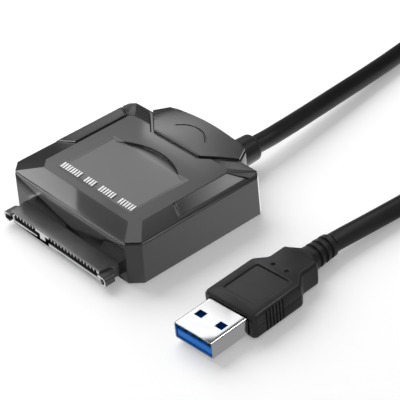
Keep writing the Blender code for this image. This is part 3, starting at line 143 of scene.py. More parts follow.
def grid_mesh(name, points, close_u=False, close_v=False, cap_ends=False):
    """Mesh from an array of points (rows, columns, 3): neighbours in both directions are joined by quads.

    close_u joins the last row to the first, close_v the last column to the first, and cap_ends closes
    the first and last row with one face each.
    """
    rows, columns = points.shape[:2]
    u = np.arange(rows if close_u else rows - 1)
    v = np.arange(columns if close_v else columns - 1)
    uu, vv = np.meshgrid(u, v, indexing="ij")
    un = (uu + 1) % rows
    vn = (vv + 1) % columns
    quads = np.stack((uu * columns + vv, uu * columns + vn, un * columns + vn, un * columns + vv), axis=-1)
    quads = quads.reshape(-1, 4)
    faces = quads.tolist()
    if cap_ends:
        faces.append(list(range(columns))[::-1])
        faces.append(list(range((rows - 1) * columns, rows * columns)))
    mesh = bpy.data.meshes.new(name)
    mesh.from_pydata(points.reshape(-1, 3).tolist(), [], faces)
    mesh.update()
    return mesh


def face_outwards(mesh):
    work = bmesh.new()
    work.from_mesh(mesh)
    bmesh.ops.remove_doubles(work, verts=work.verts, dist=1e-7)
    bmesh.ops.recalc_face_normals(work, faces=work.faces)
    work.to_mesh(mesh)
    work.free()


def place(name, mesh, material, smooth_angle=None, instead_of=()):
    if smooth_angle is not None:
        mesh.shade_smooth()
        mesh.set_sharp_from_angle(angle=math.radians(smooth_angle))
    piece = bpy.data.objects.new(name, mesh)
    bpy.context.scene.collection.objects.link(piece)
    mesh.materials.clear()
    mesh.materials.append(material)
    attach(piece, "root")
    if instead_of:
        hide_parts(*instead_of)
    return piece


SHORT_EDGE = 2.2
LEAST_ROUNDING = 0.3


def softened(node, name, material, width, smooth_angle=24.0, edge_angle=24.0):
    """The frame's own solid with its sharp edges rounded to the given width.

    An edge is left as it is where it bends by less than edge_angle. Where it meets an edge shorter than
    SHORT_EDGE widths it is rounded less, and not at all below LEAST_ROUNDING of the width.
    """
    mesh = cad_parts[node].data.copy()
    mesh.name = name
    work = bmesh.new()
    work.from_mesh(mesh)
    bmesh.ops.remove_doubles(work, verts=work.verts, dist=2e-6)
    bmesh.ops.dissolve_limit(work, angle_limit=math.radians(0.1), verts=work.verts, edges=work.edges)
    weights = []
    for edge in work.edges:
        bends = len(edge.link_faces) == 2 and edge.calc_face_angle() > math.radians(edge_angle)
        shortest = min(other.calc_length() for vertex in edge.verts for other in vertex.link_edges)
        room = min(1.0, shortest / (SHORT_EDGE * width))
        weights.append(room if bends and room > LEAST_ROUNDING else 0.0)
    work.to_mesh(mesh)
    work.free()
    layer = mesh.attributes.new("bevel_weight_edge", "FLOAT", "EDGE")
    layer.data.foreach_set("value", weights)
    piece = place(name, mesh, material, smooth_angle=smooth_angle, instead_of=(node,))
    bevel = piece.modifiers.new("soft edges", "BEVEL")
    bevel.width = width
    bevel.segments = 2
    bevel.limit_method = "WEIGHT"
    bevel.use_clamp_overlap = False
    bevel.harden_normals = True
    return piece


def dress(node, material):
    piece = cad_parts[node]
    piece.data.materials.clear()
    piece.data.materials.append(material)


def numbered(stem):
    """The frame's nodes that are called by the stem and a number."""
    start = stem + "_"
    return sorted(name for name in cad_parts
                  if name.startswith(start) and name[len(start):].isdigit())


# Sizes and colours that a user would change

def colour_property(name, description, value):
    return FloatVectorProperty(name=name, description=description, default=value, size=3,
                               min=0.0, max=1.0, subtype="COLOR")


def length_property(name, description, value):
    return FloatProperty(name=name, description=description, default=value, min=0.0, precision=5,
                         unit="LENGTH", subtype="DISTANCE")


def amount_property(name, description, value):
    return FloatProperty(name=name, description=description, default=value, min=0.0)


class HousingLook(bpy.types.PropertyGroup):
    colour: colour_property("Housing", "Colour of the housing's plastic", (0.034, 0.0333, 0.034))
    label_colour: colour_property("Label area", "Colour of the smooth recessed area", (0.124, 0.124, 0.125))
    edge: length_property("Edge radius", "Rounding of the housing's edges", 0.00018)
    grain: length_property("Grain", "Size of the plastic's fine grain", 0.00022)
    gloss: FloatProperty(name="Roughness", description="Roughness of the plastic's polish",
                         default=0.13, min=0.0, max=1.0)


class PrintLook(bpy.types.PropertyGroup):
    colour: colour_property("Print", "Colour of the printed row of strokes", (0.96, 0.96, 0.96))
    row_width: length_property("Row length", "Length of the printed row", 0.0282)
    height: length_property("Stroke height", "Height of the printed strokes", 0.0020)
    stroke: length_property("Stroke width", "Width of one stroke", 0.00054)


class ConnectorLook(bpy.types.PropertyGroup):
    colour: colour_property("Connector", "Colour of the drive connector's plastic", (0.082, 0.082, 0.083))
    gold: colour_property("Contacts", "Colour of the plated contacts", (0.90, 0.66, 0.30))
    edge: length_property("Edge radius", "Rounding of the connector's edges", 0.00008)


class LeadLook(bpy.types.PropertyGroup):
    colour: colour_property("Jacket", "Colour of the lead's jacket", (0.010, 0.010, 0.011))
    diameter: length_property("Diameter", "Outer diameter of the lead", 0.0048)
    sides: IntProperty(name="Sides", description="Number of sides of the lead's section",
                       default=32, min=8, max=64)


class PlugLook(bpy.types.PropertyGroup):
    moulding: colour_property("Moulding", "Colour of the plug's soft moulding", (0.028, 0.028, 0.029))
    insulator: colour_property("Insulator", "Colour of the tongue in the plug's mouth", (0.003, 0.260, 1.000))
    edge: length_property("Edge radius", "Rounding of the moulding's small edges", 0.00012)


class StudioLook(bpy.types.PropertyGroup):
    floor: colour_property("Floor", "Colour of the floor", (0.90, 0.90, 0.90))
    key: amount_property("Key light", "Brightness of the large lamp above the left", 3.9)
    fill: amount_property("Surroundings", "Brightness of the light from all round", 0.34)
    gloss: amount_property("Reflected surroundings", "Brightness of the surroundings in reflections", 0.06)
    front_gloss: amount_property("Reflected front", "The same, before the object and to its right", 0.45)
    floor_glow: amount_property("Floor glow", "Glow that whitens the floor for the camera", 0.26)
    side_glow: amount_property("Side glow", "Floor's brightness in the right wall's reflection", 1.1)
    lip_glow: amount_property("Connector glow", "Floor's brightness in the connector's front", 4.0)
    lens: FloatProperty(name="Lens", description="Focal length in millimetres", default=149.615, min=10.0)


# Materials

PLATFORM_Z = 0.0125
LABEL_HALF_WIDTH = 0.0144
LABEL_FRONT = -0.0131
LABEL_BACK = 0.0048
LABEL_BLUR = 0.0001
LABEL_LOW = 0.0010
LABEL_HIGH = 0.0006
LABEL_DULLNESS = 0.12


def housing_plastic(look, name, with_label):
    """Smooth dark plastic with a very fine grain. The recessed area on the cover is paler and duller."""
    kit = NodeKit(name)
    vector, (x, y, z) = kit.position()
    grain = kit.noise(vector, 1.0 / look.grain, detail=3.0, roughness=0.6)
    broad = kit.noise(vector, 60.0, detail=2.0)
    base = (*look.colour, 1.0)
    colour = kit.mix(kit.ramp(broad, 0.3, 0.7), scaled(base, 0.94), scaled(base, 1.06))
    roughness = kit.ramp(grain, 0.2, 0.8, look.gloss - 0.02, look.gloss + 0.02, smooth=False)
    if with_label:
        half, front, back, blur = LABEL_HALF_WIDTH, LABEL_FRONT, LABEL_BACK, LABEL_BLUR
        across = kit.ramp(kit.math("ABSOLUTE", x), half - blur, half + blur, 1.0, 0.0)
        rise = kit.ramp(y, front - blur, front + blur)
        fall = kit.ramp(y, back - blur, back + blur, 1.0, 0.0)
        mask = kit.math("MULTIPLY", kit.math("MULTIPLY", across, rise), fall)
        mask = kit.math("MULTIPLY", mask, kit.ramp(z, PLATFORM_Z - LABEL_LOW, PLATFORM_Z - LABEL_HIGH))
        colour = kit.mix(mask, colour, (*look.label_colour, 1.0))
        roughness = kit.math("ADD", roughness, kit.math("MULTIPLY", mask, LABEL_DULLNESS))
    kit.bump(grain, 0.03, 0.00001)
    return kit.finish(colour, roughness, IOR=1.5)


def print_ink(look):
    kit = NodeKit("white ink")
    vector, _ = kit.position()
    wear = kit.noise(vector, 5000.0, detail=3.0)
    colour = kit.mix(kit.ramp(wear, 0.35, 0.75), (*look.colour, 1.0), scaled(look.colour, 0.93))
    return kit.finish(colour, 0.5)


def connector_plastic(look):
    kit = NodeKit("connector plastic")
    vector, _ = kit.position()
    grain = kit.noise(vector, 4000.0, detail=3.0)
    streak = kit.noise(vector, 300.0, detail=2.0)
    colour = kit.mix(kit.ramp(streak, 0.3, 0.7), scaled(look.colour, 0.92), scaled(look.colour, 1.08))
    kit.bump(grain, 0.10, 0.00002)
    return kit.finish(colour, kit.ramp(grain, 0.2, 0.8, 0.18, 0.24, smooth=False), IOR=1.5)


def metal(name, colour, low, high, scale=2500.0):
    kit = NodeKit(name)
    vector, _ = kit.position()
    haze = kit.noise(vector, scale, detail=3.0)
    shade = kit.mix(haze, scaled(colour, 0.95), scaled(colour, 1.0))
    return kit.finish(shade, kit.ramp(haze, 0.3, 0.7, low, high), Metallic=1.0)


def plain_resin(name, colour, roughness=0.5, scale=3000.0):
    kit = NodeKit(name)
    vector, _ = kit.position()
    grain = kit.noise(vector, scale, detail=3.0)
    shade = kit.mix(grain, scaled(colour, 0.88), scaled(colour, 1.12))
    kit.bump(grain, 0.15, 0.00001)
    return kit.finish(shade, kit.ramp(grain, 0.2, 0.8, roughness - 0.05, roughness + 0.05, smooth=False))


RUN_PITCH = 0.0009
RUN_START = 0.00055
RUN_FULL = 0.00065
RUN_SWAY = 0.004
BOARD_GREEN = (0.010, 0.085, 0.035, 1.0)
RUN_GREEN = (0.022, 0.150, 0.060, 1.0)


def solder_mask():
    """Green lacquer with paler copper runs that sway along the board."""
    kit = NodeKit("solder mask")
    vector, (x, _, _) = kit.position()
    sway = kit.math("MULTIPLY", kit.noise(vector, 120.0), RUN_SWAY)
    runs = kit.math("PINGPONG", kit.math("ADD", x, sway), RUN_PITCH)
    line = kit.ramp(runs, RUN_START, RUN_FULL)
    colour = kit.mix(line, BOARD_GREEN, RUN_GREEN)
    kit.bump(line, 0.2, 0.00002)
    return kit.finish(colour, 0.32)


def jacket_rubber(look):
    kit = NodeKit("lead jacket")
    vector, _ = kit.position()
    grain = kit.noise(vector, 2600.0, detail=3.0)
    broad = kit.noise(vector, 160.0)
    colour = kit.mix(kit.ramp(broad, 0.3, 0.7), scaled(look.colour, 0.85), scaled(look.colour, 1.2))
    kit.bump(grain, 0.12, 0.00003)
    return kit.finish(colour, kit.ramp(grain, 0.2, 0.8, 0.36, 0.46, smooth=False))


def soft_moulding(look):
    kit = NodeKit("soft moulding")
    vector, _ = kit.position()
    grain = kit.noise(vector, 3200.0, detail=4.0, roughness=0.65)
    broad = kit.noise(vector, 140.0)
    colour = kit.mix(kit.ramp(broad, 0.3, 0.7), scaled(look.moulding, 0.9), scaled(look.moulding, 1.12))
    kit.bump(grain, 0.2, 0.00003)
    return kit.finish(colour, kit.ramp(grain, 0.2, 0.8, 0.30, 0.38, smooth=False), Specular_IOR_Level=0.3)


def blue_plastic(look):
    kit = NodeKit("blue insulator")
    vector, _ = kit.position()
    cloud = kit.noise(vector, 700.0)
    colour = kit.mix(cloud, scaled(look.insulator, 0.92), scaled(look.insulator, 1.08))
    return kit.finish(colour, 0.33)


# Housing and print

TAIL_HALF_WIDTH = 0.0087
TAIL_EDGE_Y = 0.0130
TAIL_EDGE_Z = 0.01265
TAIL_LIP = 0.00028
SHELL_SMOOTH_ANGLE = 6.0
SHELL_EDGE_ANGLE = 8.0


class ADAPTER_OT_housing(bpy.types.Operator):
    """Round the edges of both shells, lay the lip along the tail's front edge and give all glossy plastic"""
    bl_idname = "adapter.housing"
    bl_label = "Housing"

    def execute(self, context):
        look = context.scene.adapter_housing
        for node, name, with_label in (("upper_shell", "cover", True), ("lower_shell", "tray", False)):
            plastic = housing_plastic(look, name + " plastic", with_label)
            softened(node, name, plastic, look.edge, SHELL_SMOOTH_ANGLE, SHELL_EDGE_ANGLE)
            if with_label:
                across = np.linspace(-1.0, 1.0, 9) * (TAIL_HALF_WIDTH - TAIL_LIP)
                edge = np.full((9, 2), (TAIL_EDGE_Y + TAIL_LIP / 2, TAIL_EDGE_Z - TAIL_LIP / 2))
                path = np.column_stack((across, edge))
                mesh = grid_mesh("tail_lip", tube_along(path, TAIL_LIP, 16), close_v=True, cap_ends=True)
                face_outwards(mesh)
                place("tail_lip", mesh, plastic, smooth_angle=50)
        return {"FINISHED"}


PRINT_LEFT = -0.0143
PRINT_MIDDLE_Y = -0.0115
PRINT_CELLS = np.array([1, 1, 1, 1, 0, 1, 1, 0, 1, 1, 1, 0, 1, 1, 1])
STROKE_SPREAD = 0.24
STROKE_SLANT = 0.18
INK_DEPTH = 0.0001
INK_RISE = 0.00002


class ADAPTER_OT_print(bpy.types.Operator):
    """Lay a row of slanted white strokes along the front of the cover"""
    bl_idname = "adapter.print_row"
    bl_label = "Printed strokes"

    def execute(self, context):
        look = context.scene.adapter_print
        pitch = look.row_width / len(PRINT_CELLS)
        cells = np.flatnonzero(PRINT_CELLS)
        middles = PRINT_LEFT + (cells + 0.5) * pitch
        starts = np.concatenate((middles - STROKE_SPREAD * pitch, middles + STROKE_SPREAD * pitch))
        half_w, half_h = look.stroke / 2, look.height / 2
        low, high = PLATFORM_Z - INK_DEPTH, PLATFORM_Z + INK_RISE
        corners = np.array([(-half_w, -half_h), (half_w, -half_h), (half_w, half_h), (-half_w, half_h)])
        x = starts[:, None] + corners[None, :, 0] - STROKE_SLANT * corners[None, :, 1]
        y = PRINT_MIDDLE_Y + np.broadcast_to(corners[None, :, 1], x.shape)
        lower = np.stack((x, y, np.full_like(x, low)), axis=-1)
        upper = np.stack((x, y, np.full_like(x, high)), axis=-1)
        points = np.concatenate((lower, upper), axis=1).reshape(-1, 3)
        box = np.array([(3, 2, 1, 0), (4, 5, 6, 7), (0, 1, 5, 4), (1, 2, 6, 5), (2, 3, 7, 6), (3, 0, 4, 7)])
        faces = (box[None] + 8 * np.arange(len(starts))[:, None, None]).reshape(-1, 4)
        mesh = bpy.data.meshes.new("printed_strokes")
        mesh.from_pydata(points.tolist(), [], faces.tolist())
        place("printed_strokes", mesh, print_ink(look))
        return {"FINISHED"}


# Drive connector

class ADAPTER_OT_connector(bpy.types.Operator):
    """Finish the drive connector, its contacts and its board locks"""
    bl_idname = "adapter.connector"
    bl_label = "Drive connector"

    def execute(self, context):
        look = context.scene.adapter_connector
        softened("sata_housing", "connector_block", connector_plastic(look), look.edge)
        gold = metal("plated contact", look.gold, 0.16, 0.26)
        for node in numbered("signal_contact") + numbered("power_contact"):
            dress(node, gold)
        steel = metal("board lock steel", (0.72, 0.72, 0.73), 0.22, 0.34)
        for node in ("board_lock_left", "board_lock_right"):
            dress(node, steel)
        return {"FINISHED"}


# Board

class ADAPTER_OT_board(bpy.types.Operator):
    """Colour the board and the small pieces that it carries"""
    bl_idname = "adapter.board"
    bl_label = "Circuit board"

    def execute(self, context):
        dress("circuit_board", solder_mask())
        resin = plain_resin("black resin", (0.018, 0.018, 0.019))
        for node in ["bridge_chip", "memory_chip", "voltage_regulator"] + numbered("resistor"):
            dress(node, resin)
        dress("crystal", metal("crystal can", (0.78, 0.78, 0.76), 0.20, 0.30))
        dress("power_inductor", plain_resin("ferrite", (0.060, 0.058, 0.056), 0.6))
        ceramic = plain_resin("tan ceramic", (0.42, 0.29, 0.16), 0.45)
        for node in numbered("capacitor"):
            dress(node, ceramic)
        wires = {
            "power_wire": (0.55, 0.02, 0.02),
            "ground_wire": (0.02, 0.02, 0.02),
            "data_pair": (0.70, 0.70, 0.68),
            "transmit_pair": (0.03, 0.09, 0.50),
            "receive_pair": (0.75, 0.33, 0.03),
        }
        for node, colour in wires.items():
            dress(node, plain_resin(node.replace("_", " "), colour, 0.4, 1500.0))
        return {"FINISHED"}


# Lead

LEAD_EXIT = (0.0071, 0.0318, 0.0054)
LEAD_REST = 0.00245
LEAD_BENDS = [
    (0.00705, 0.0370, 0.00530),
    (0.00660, 0.0415, 0.00505),
    (0.00600, 0.0470, 0.00475),
    (0.00500, 0.0550, 0.00430),
    (0.00370, 0.0650, 0.00375),
    (0.00240, 0.0750, 0.00320),
    (0.00100, 0.0850, 0.00270),
    (-0.00030, 0.0940, LEAD_REST),
    (-0.00110, 0.1030, LEAD_REST),
    (-0.00060, 0.1130, LEAD_REST),
    (0.00240, 0.1230, LEAD_REST),
    (0.00850, 0.1315, LEAD_REST),
    (0.01700, 0.1370, LEAD_REST),
    (0.02680, 0.1384, LEAD_REST),
    (0.03640, 0.1354, LEAD_REST),
    (0.04400, 0.1285, LEAD_REST),
    (0.04860, 0.1190, LEAD_REST),
    (0.05050, 0.1080, LEAD_REST),
    (0.05070, 0.0960, LEAD_REST),
    (0.05050, 0.0840, LEAD_REST),
    (0.05015, 0.0720, LEAD_REST),
    (0.04975, 0.0600, LEAD_REST),
    (0.04930, 0.0460, LEAD_REST),
    (0.04905, 0.0390, 0.00255),
    (0.04880, 0.0320, 0.00275),
    (0.04860, 0.0260, 0.00300),
    (0.04845, 0.0215, 0.00320),
]
PLUG_MOUTH = (0.0511, -0.0262)
PLUG_TURN = math.radians(3.5)
PLUG_AXIS_Z = 0.0033
PLUG_LENGTH = 0.0443
LEAD_GAP = 0.0003


def plug_point(along, side=0.0, height=0.0):
    """A point of the plug from its distance behind the mouth, to the side and above its axis."""
    x = PLUG_MOUTH[0] - math.sin(PLUG_TURN) * along + math.cos(PLUG_TURN) * side
    y = PLUG_MOUTH[1] + math.cos(PLUG_TURN) * along + math.sin(PLUG_TURN) * side
    return (x, y, PLUG_AXIS_Z + height)


def smooth_line(points, steps):
    """Cubic through every given point, whose tangent there is half the step between its two neighbours."""
    line = np.array(points, dtype=float)
    padded = np.vstack((2 * line[0] - line[1], line, 2 * line[-1] - line[-2]))
    a, b, c, d = padded[:-3], padded[1:-2], padded[2:-1], padded[3:]
    t = (np.arange(steps) / steps)[None, :, None]
    a, b, c, d = (array[:, None, :] for array in (a, b, c, d))
    square = 2 * a - 5 * b + 4 * c - d
    cube = 3 * b - a - 3 * c + d
    pieces = 0.5 * (2 * b + (c - a) * t + square * t ** 2 + cube * t ** 3)
    return np.vstack((pieces.reshape(-1, 3), line[-1]))


def tube_along(path, radius, sides):
    """A circle of the radius carried along the path, square to it: path + radius (cos a side + sin a up).

    side is the cross product of the path's direction with the vertical, and up that of side with the
    direction.
    """
    direction = np.gradient(path, axis=0)
    direction /= np.linalg.norm(direction, axis=1, keepdims=True)
    side = np.cross(direction, (0.0, 0.0, 1.0))
    side /= np.linalg.norm(side, axis=1, keepdims=True)
    up = np.cross(side, direction)
    angle = np.linspace(0.0, 2 * math.pi, sides, endpoint=False)
    ring = np.cos(angle)[None, :, None] * side[:, None, :] + np.sin(angle)[None, :, None] * up[:, None, :]
    return path[:, None, :] + radius * ring


class ADAPTER_OT_lead(bpy.types.Operator):
    """Carry the round jacket along the lead's route"""
    bl_idname = "adapter.lead"
    bl_label = "Lead"

    def execute(self, context):
        look = context.scene.adapter_lead
        start = (LEAD_EXIT[0], LEAD_EXIT[1], LEAD_EXIT[2])
        route = [start] + LEAD_BENDS + [plug_point(PLUG_LENGTH + LEAD_GAP)]
        path = smooth_line(route, 10)
        points = tube_along(path, look.diameter / 2, look.sides)
        mesh = grid_mesh("lead", points, close_v=True, cap_ends=True)
        face_outwards(mesh)
        lead = place("lead", mesh, jacket_rubber(look), smooth_angle=50, instead_of=("cable",))
        return {"FINISHED"}


# Plug

PANEL_HALF_WIDTH = 0.00515
PANEL_NEAR = 0.0145
PANEL_FAR = 0.0255
PANEL_CORNER = 0.0008
PANEL_FLOOR = 0.0030
PANEL_SHADE_RADIUS = 0.00011
MARK_SIDE = 0.0021
MARK_ALONG = 0.02755
MARK_RADIUS = 0.00055
MARK_LIFT = 0.00003
SLEEVE_EDGE = 0.00005


def panel_groove_shade():
    """A thin black tube at the foot of the recessed panel's wall: painted shade along the groove.

    Its route is a rectangle with a quarter circle at each corner.
    """
    quarter = np.linspace(0.0, math.pi / 2, 7)
    radius = PANEL_CORNER - PANEL_SHADE_RADIUS
    route = []
    for side, along, turn in ((1, 1, 0), (-1, 1, 1), (-1, -1, 2), (1, -1, 3)):
        middle_along = (PANEL_FAR - PANEL_CORNER) if along > 0 else (PANEL_NEAR + PANEL_CORNER)
        middle_side = side * (PANEL_HALF_WIDTH - PANEL_CORNER)
        for angle in quarter + turn * math.pi / 2:
            route.append(plug_point(middle_along + radius * math.sin(angle),
                                    middle_side + radius * math.cos(angle), PANEL_FLOOR))
    wrapped = np.array([route[-1]] + route + [route[0]])
    return grid_mesh("plug_panel_groove_shade", tube_along(wrapped, PANEL_SHADE_RADIUS, 10)[1:-1], close_u=True, close_v=True)


def mark_shade_discs():
    """A flat black disc on the floor of each of the two round marks behind the panel: painted shade in the
    pit.

    Its corners lie at MARK_RADIUS (cos a, sin a) round the mark's middle.
    """
    angle = np.linspace(0.0, 2 * math.pi, 24, endpoint=False)
    corners, faces = [], []
    for side in (-MARK_SIDE, MARK_SIDE):
        faces.append(list(range(len(corners), len(corners) + len(angle))))
        corners += [plug_point(MARK_ALONG + MARK_RADIUS * math.sin(a), side + MARK_RADIUS * math.cos(a),
                               PANEL_FLOOR + MARK_LIFT) for a in angle]
    mesh = bpy.data.meshes.new("plug_mark_shade_discs")
    mesh.from_pydata(corners, [], faces)
    return mesh


class ADAPTER_OT_plug(bpy.types.Operator):
    """Finish the plug's moulding, sleeve, tongue and contacts, and the strain relief of the same moulding,
    and lay painted shade in the panel's groove and round pits
    """
    bl_idname = "adapter.plug"
    bl_label = "Plug"

    def execute(self, context):
        look = context.scene.adapter_plug
        soft = soft_moulding(look)
        softened("plug_overmould", "plug_body", soft, look.edge)
        softened("cable_boot", "strain_relief", soft, look.edge)
        bright = metal("bright nickel", (0.80, 0.80, 0.81), 0.14, 0.17)
        softened("plug_shell", "plug_sleeve", bright, SLEEVE_EDGE)
        # Near-black tube and discs: painted shade in the panel's groove and in the two round pits
        shade = plain_resin("shaded recess", (0.003, 0.003, 0.003), 0.6)
        line = panel_groove_shade()
        face_outwards(line)
        place("plug_panel_groove_shade", line, shade, smooth_angle=50)
        place("plug_mark_shade_discs", mark_shade_discs(), shade)
        dress("plug_insulator", blue_plastic(look))
        gold = metal("plug contact", (0.90, 0.68, 0.32), 0.18, 0.28)
        for node in numbered("plug_pad_contact") + numbered("plug_spring_contact"):
            dress(node, gold)
        return {"FINISHED"}


# Studio

CAMERA_PLACE = (0.275930, -0.189134, 0.236693)
CAMERA_RIGHT = (0.64922, 0.75498, -0.09229)
CAMERA_UP = (-0.39080, 0.43522, 0.81109)
CAMERA_BACK = (0.65252, -0.49051, 0.57760)
AIM = Vector((0.010, 0.0, 0.006))
FLOOR_REACH = 3.0
FLOOR_Z = -0.00005
SHEET_Z = 0.0125
FLAT = (0.0, 0.0, 1.0)
FRONT_SLOPE = (0.0, -0.141, 0.990)
RIGHT_SLOPE = (0.132, 0.0, 0.991)
LEFT_SLOPE = (-0.132, 0.0, 0.991)
REAR_SLOPE = (0.0, 0.153, 0.988)
TAIL_CROWN = (0.0, -0.045, 0.999)
FRONT_CORNER = (0.072, -0.072, 0.995)
REAR_CORNER = (-0.073, 0.073, 0.995)
PAD_END = (0.216, -0.654, 0.725)
LABEL_EDGE = (0.243, 0.0, 0.970)
RELIEF_TOP = (0.634, 0.039, 0.772)
FRONT_EDGE = (0.0, -0.707, 0.707)
SIDE_EDGE = (0.707, 0.0, 0.707)
# For each sheet: the patch that mirrors it in the photo's view, as its near left, near right, far right
# and far left corner (x, y) at the cover's height, then the patch's normal, the sheet's distance, and its
# radiance at the four corners
MIRRORED_SHEETS = (
    ("platform sheet", ((-0.028, -0.026), (0.027, -0.026), (0.027, 0.020), (-0.028, 0.020)),
     FLAT, 0.30, (2.6, 1.0, 1.1, 1.2)),
    ("sleeve sheet", ((-0.010, -0.090), (0.088, -0.090), (0.088, -0.0110), (-0.010, -0.0110)),
     FLAT, 0.60, (1.6, 1.6, 1.5, 1.5)),
    ("lit slope sheet", ((-0.0235, -0.0215), (0.0032, -0.0209), (-0.0036, -0.0152), (-0.0225, -0.0148)),
     FRONT_SLOPE, 0.022, (5.2, 3.7, 3.1, 4.4)),
    ("dim slope sheet", ((0.0032, -0.0209), (0.0216, -0.0212), (0.0170, -0.0150), (-0.0036, -0.0152)),
     FRONT_SLOPE, 0.022, (0.6, 0.3, 0.4, 0.6)),
    ("front corner sheet", ((0.0200, -0.0212), (0.0250, -0.0180), (0.0190, -0.0128), (0.0155, -0.0154)),
     FRONT_CORNER, 0.035, (1.6, 1.6, 1.6, 1.6)),
    ("right pad sheet", ((0.0188, -0.0040), (0.0246, -0.0066), (0.0246, 0.0158), (0.0188, 0.0130)),
     RIGHT_SLOPE, 0.045, (0.0, 0.0, 6.2, 4.0)),
    ("left pad sheet", ((-0.0246, -0.0066), (-0.0188, -0.0040), (-0.0188, 0.0130), (-0.0246, 0.0158)),
     LEFT_SLOPE, 0.060, (0.8, 1.0, 1.6, 1.5)),
    ("rear corner sheet", ((-0.0250, 0.0140), (-0.0180, 0.0140), (-0.0180, 0.0195), (-0.0250, 0.0195)),
     REAR_CORNER, 0.040, (1.1, 1.1, 1.1, 1.1)),
    ("rear slope sheet", ((0.0140, 0.0135), (0.0250, 0.0135), (0.0250, 0.0195), (0.0140, 0.0195)),
     REAR_SLOPE, 0.040, (1.2, 1.2, 1.2, 1.2)),
    ("tail sheet", ((-0.0115, 0.0135), (0.0220, 0.0128), (0.0220, 0.0360), (-0.0340, 0.0360)),
     TAIL_CROWN, 0.050, (3.9, 0.3, 0.8, 0.2)),
    ("pad end sheet", ((-0.0260, -0.0090), (-0.0160, -0.0090), (-0.0160, 0.0010), (-0.0260, 0.0010)),
     PAD_END, 0.050, (9.0, 9.0, 9.0, 9.0)),
    ("label edge sheet", ((-0.0175, -0.0135), (-0.0125, -0.0135), (-0.0125, 0.0055), (-0.0175, 0.0055)),
     LABEL_EDGE, 0.040, (1.1, 1.1, 1.1, 1.1)),
    ("front edge sheet", ((-0.0350, -0.0450), (0.0300, -0.0450), (0.0300, -0.0080), (-0.0350, -0.0080)),
     FRONT_EDGE, 0.15, (8.0, 4.0, 4.0, 8.0)),
    ("tail edge sheet", ((-0.0200, 0.0040), (0.0160, 0.0040), (0.0160, 0.0220), (-0.0200, 0.0220)),
     FRONT_EDGE, 0.050, (7.0, 7.0, 7.0, 7.0)),
    ("relief sheet", ((0.000, 0.018), (0.022, 0.018), (0.022, 0.045), (0.000, 0.045)),
     RELIEF_TOP, 0.060, (2.4, 2.4, 0.8, 0.8)),
    ("side edge sheet", ((0.0160, -0.0240), (0.0330, -0.0240), (0.0330, 0.0170), (0.0160, 0.0170)),
     SIDE_EDGE, 0.080, (9.0, 9.0, 2.0, 2.0)),
)


def light_panel(name, direction, distance, spread, radiance):
    """A rectangle seen from the aim point in a direction, under two angles: along X, and square to that.

    Its power is radiance x area x pi, so the radiance stays the same at any size.
    """
    away = Vector(direction).normalized()
    across = (Vector((1.0, 0.0, 0.0)) - away * away.x).normalized()
    width, height = (2 * distance * math.tan(math.radians(angle / 2)) for angle in spread)
    light = bpy.data.lights.new(name, "AREA")
    light.shape = "RECTANGLE"
    light.size = width
    light.size_y = height
    light.energy = radiance * math.pi * width * height
    lamp = bpy.data.objects.new(name, light)
    axes = Matrix((across, away.cross(across), away)).transposed()
    lamp.matrix_world = Matrix.Translation(AIM + away * distance) @ axes.to_4x4()
    lamp.visible_camera = False
    lamp.visible_glossy = False
    bpy.context.scene.collection.objects.link(lamp)


def mirrored_place(point, normal, reach):
    """Where the camera's ray, mirrored in a flat face at the point, arrives after the given length.

    With v the direction to the camera and n the face's normal, the mirrored ray runs along 2 (v.n) n - v.
    """
    point, normal = Vector(point), Vector(normal).normalized()
    view = (Vector(CAMERA_PLACE) - point).normalized()
    return point + reach * (2.0 * view.dot(normal) * normal - view)


def mirrored_sheet(name, patch, normal, reach, glow):
    """A glowing sheet that the camera sees mirrored in one patch of the object, and that lights nothing else.

    patch holds four corners at the cover's height, and glow the radiance at each of them.
    """
    mesh = bpy.data.meshes.new(name)
    corners = [mirrored_place((x, y, SHEET_Z), normal, reach) for x, y in patch]
    mesh.from_pydata([tuple(corner) for corner in corners], [], [(0, 1, 2, 3)])
    layer = mesh.uv_layers.new(name="sheet")
    layer.data.foreach_set("uv", [0.0, 0.0, 1.0, 0.0, 1.0, 1.0, 0.0, 1.0])
    kit = NodeKit(name)
    kit.tree.nodes.remove(kit.shader)
    output = next(node for node in kit.tree.nodes if node.type == "OUTPUT_MATERIAL")
    parts = kit.add("ShaderNodeSeparateXYZ")
    kit.join(kit.add("ShaderNodeTexCoord").outputs["UV"], parts.inputs[0])
    along, up = parts.outputs[0], parts.outputs[1]
    near = kit.ramp(along, 0.0, 1.0, glow[0], glow[1], smooth=False)
    far = kit.ramp(along, 0.0, 1.0, glow[3], glow[2], smooth=False)
    step = kit.math("MULTIPLY", kit.math("SUBTRACT", far, near), up)
    emission = kit.add("ShaderNodeEmission")
    kit.join(kit.math("ADD", near, step), emission.inputs["Strength"])
    kit.join(emission.outputs[0], output.inputs["Surface"])
    mesh.materials.append(kit.material)
    sheet = bpy.data.objects.new(name, mesh)
    bpy.context.scene.collection.objects.link(sheet)
    sheet.visible_camera = False
    sheet.visible_diffuse = False
    sheet.visible_shadow = False
    sheet.visible_transmission = False


# Borders between the floor's parts, each as where a change begins and where it ends, along X or Y
WALL_SIDE = (-0.020, 0.025)
FRONT_BORDER = (-0.024, -0.018)
BACK_BORDER = (0.030, 0.050)
PLUG_BORDER = (0.036, 0.050)
FRONT_LEFT = (-0.030, 0.010)
FRONT_RIGHT = (0.020, 0.026)
STRIP_NEAR = (-0.0304, -0.0298)
STRIP_FAR = (-0.0274, -0.0268)
STRIP_LEFT = (-0.0262, -0.0250)
STRIP_RIGHT = (0.0180, 0.0210)
FAR_FLOOR = (0.16, 0.60)
FAR_GLOW = 0.75


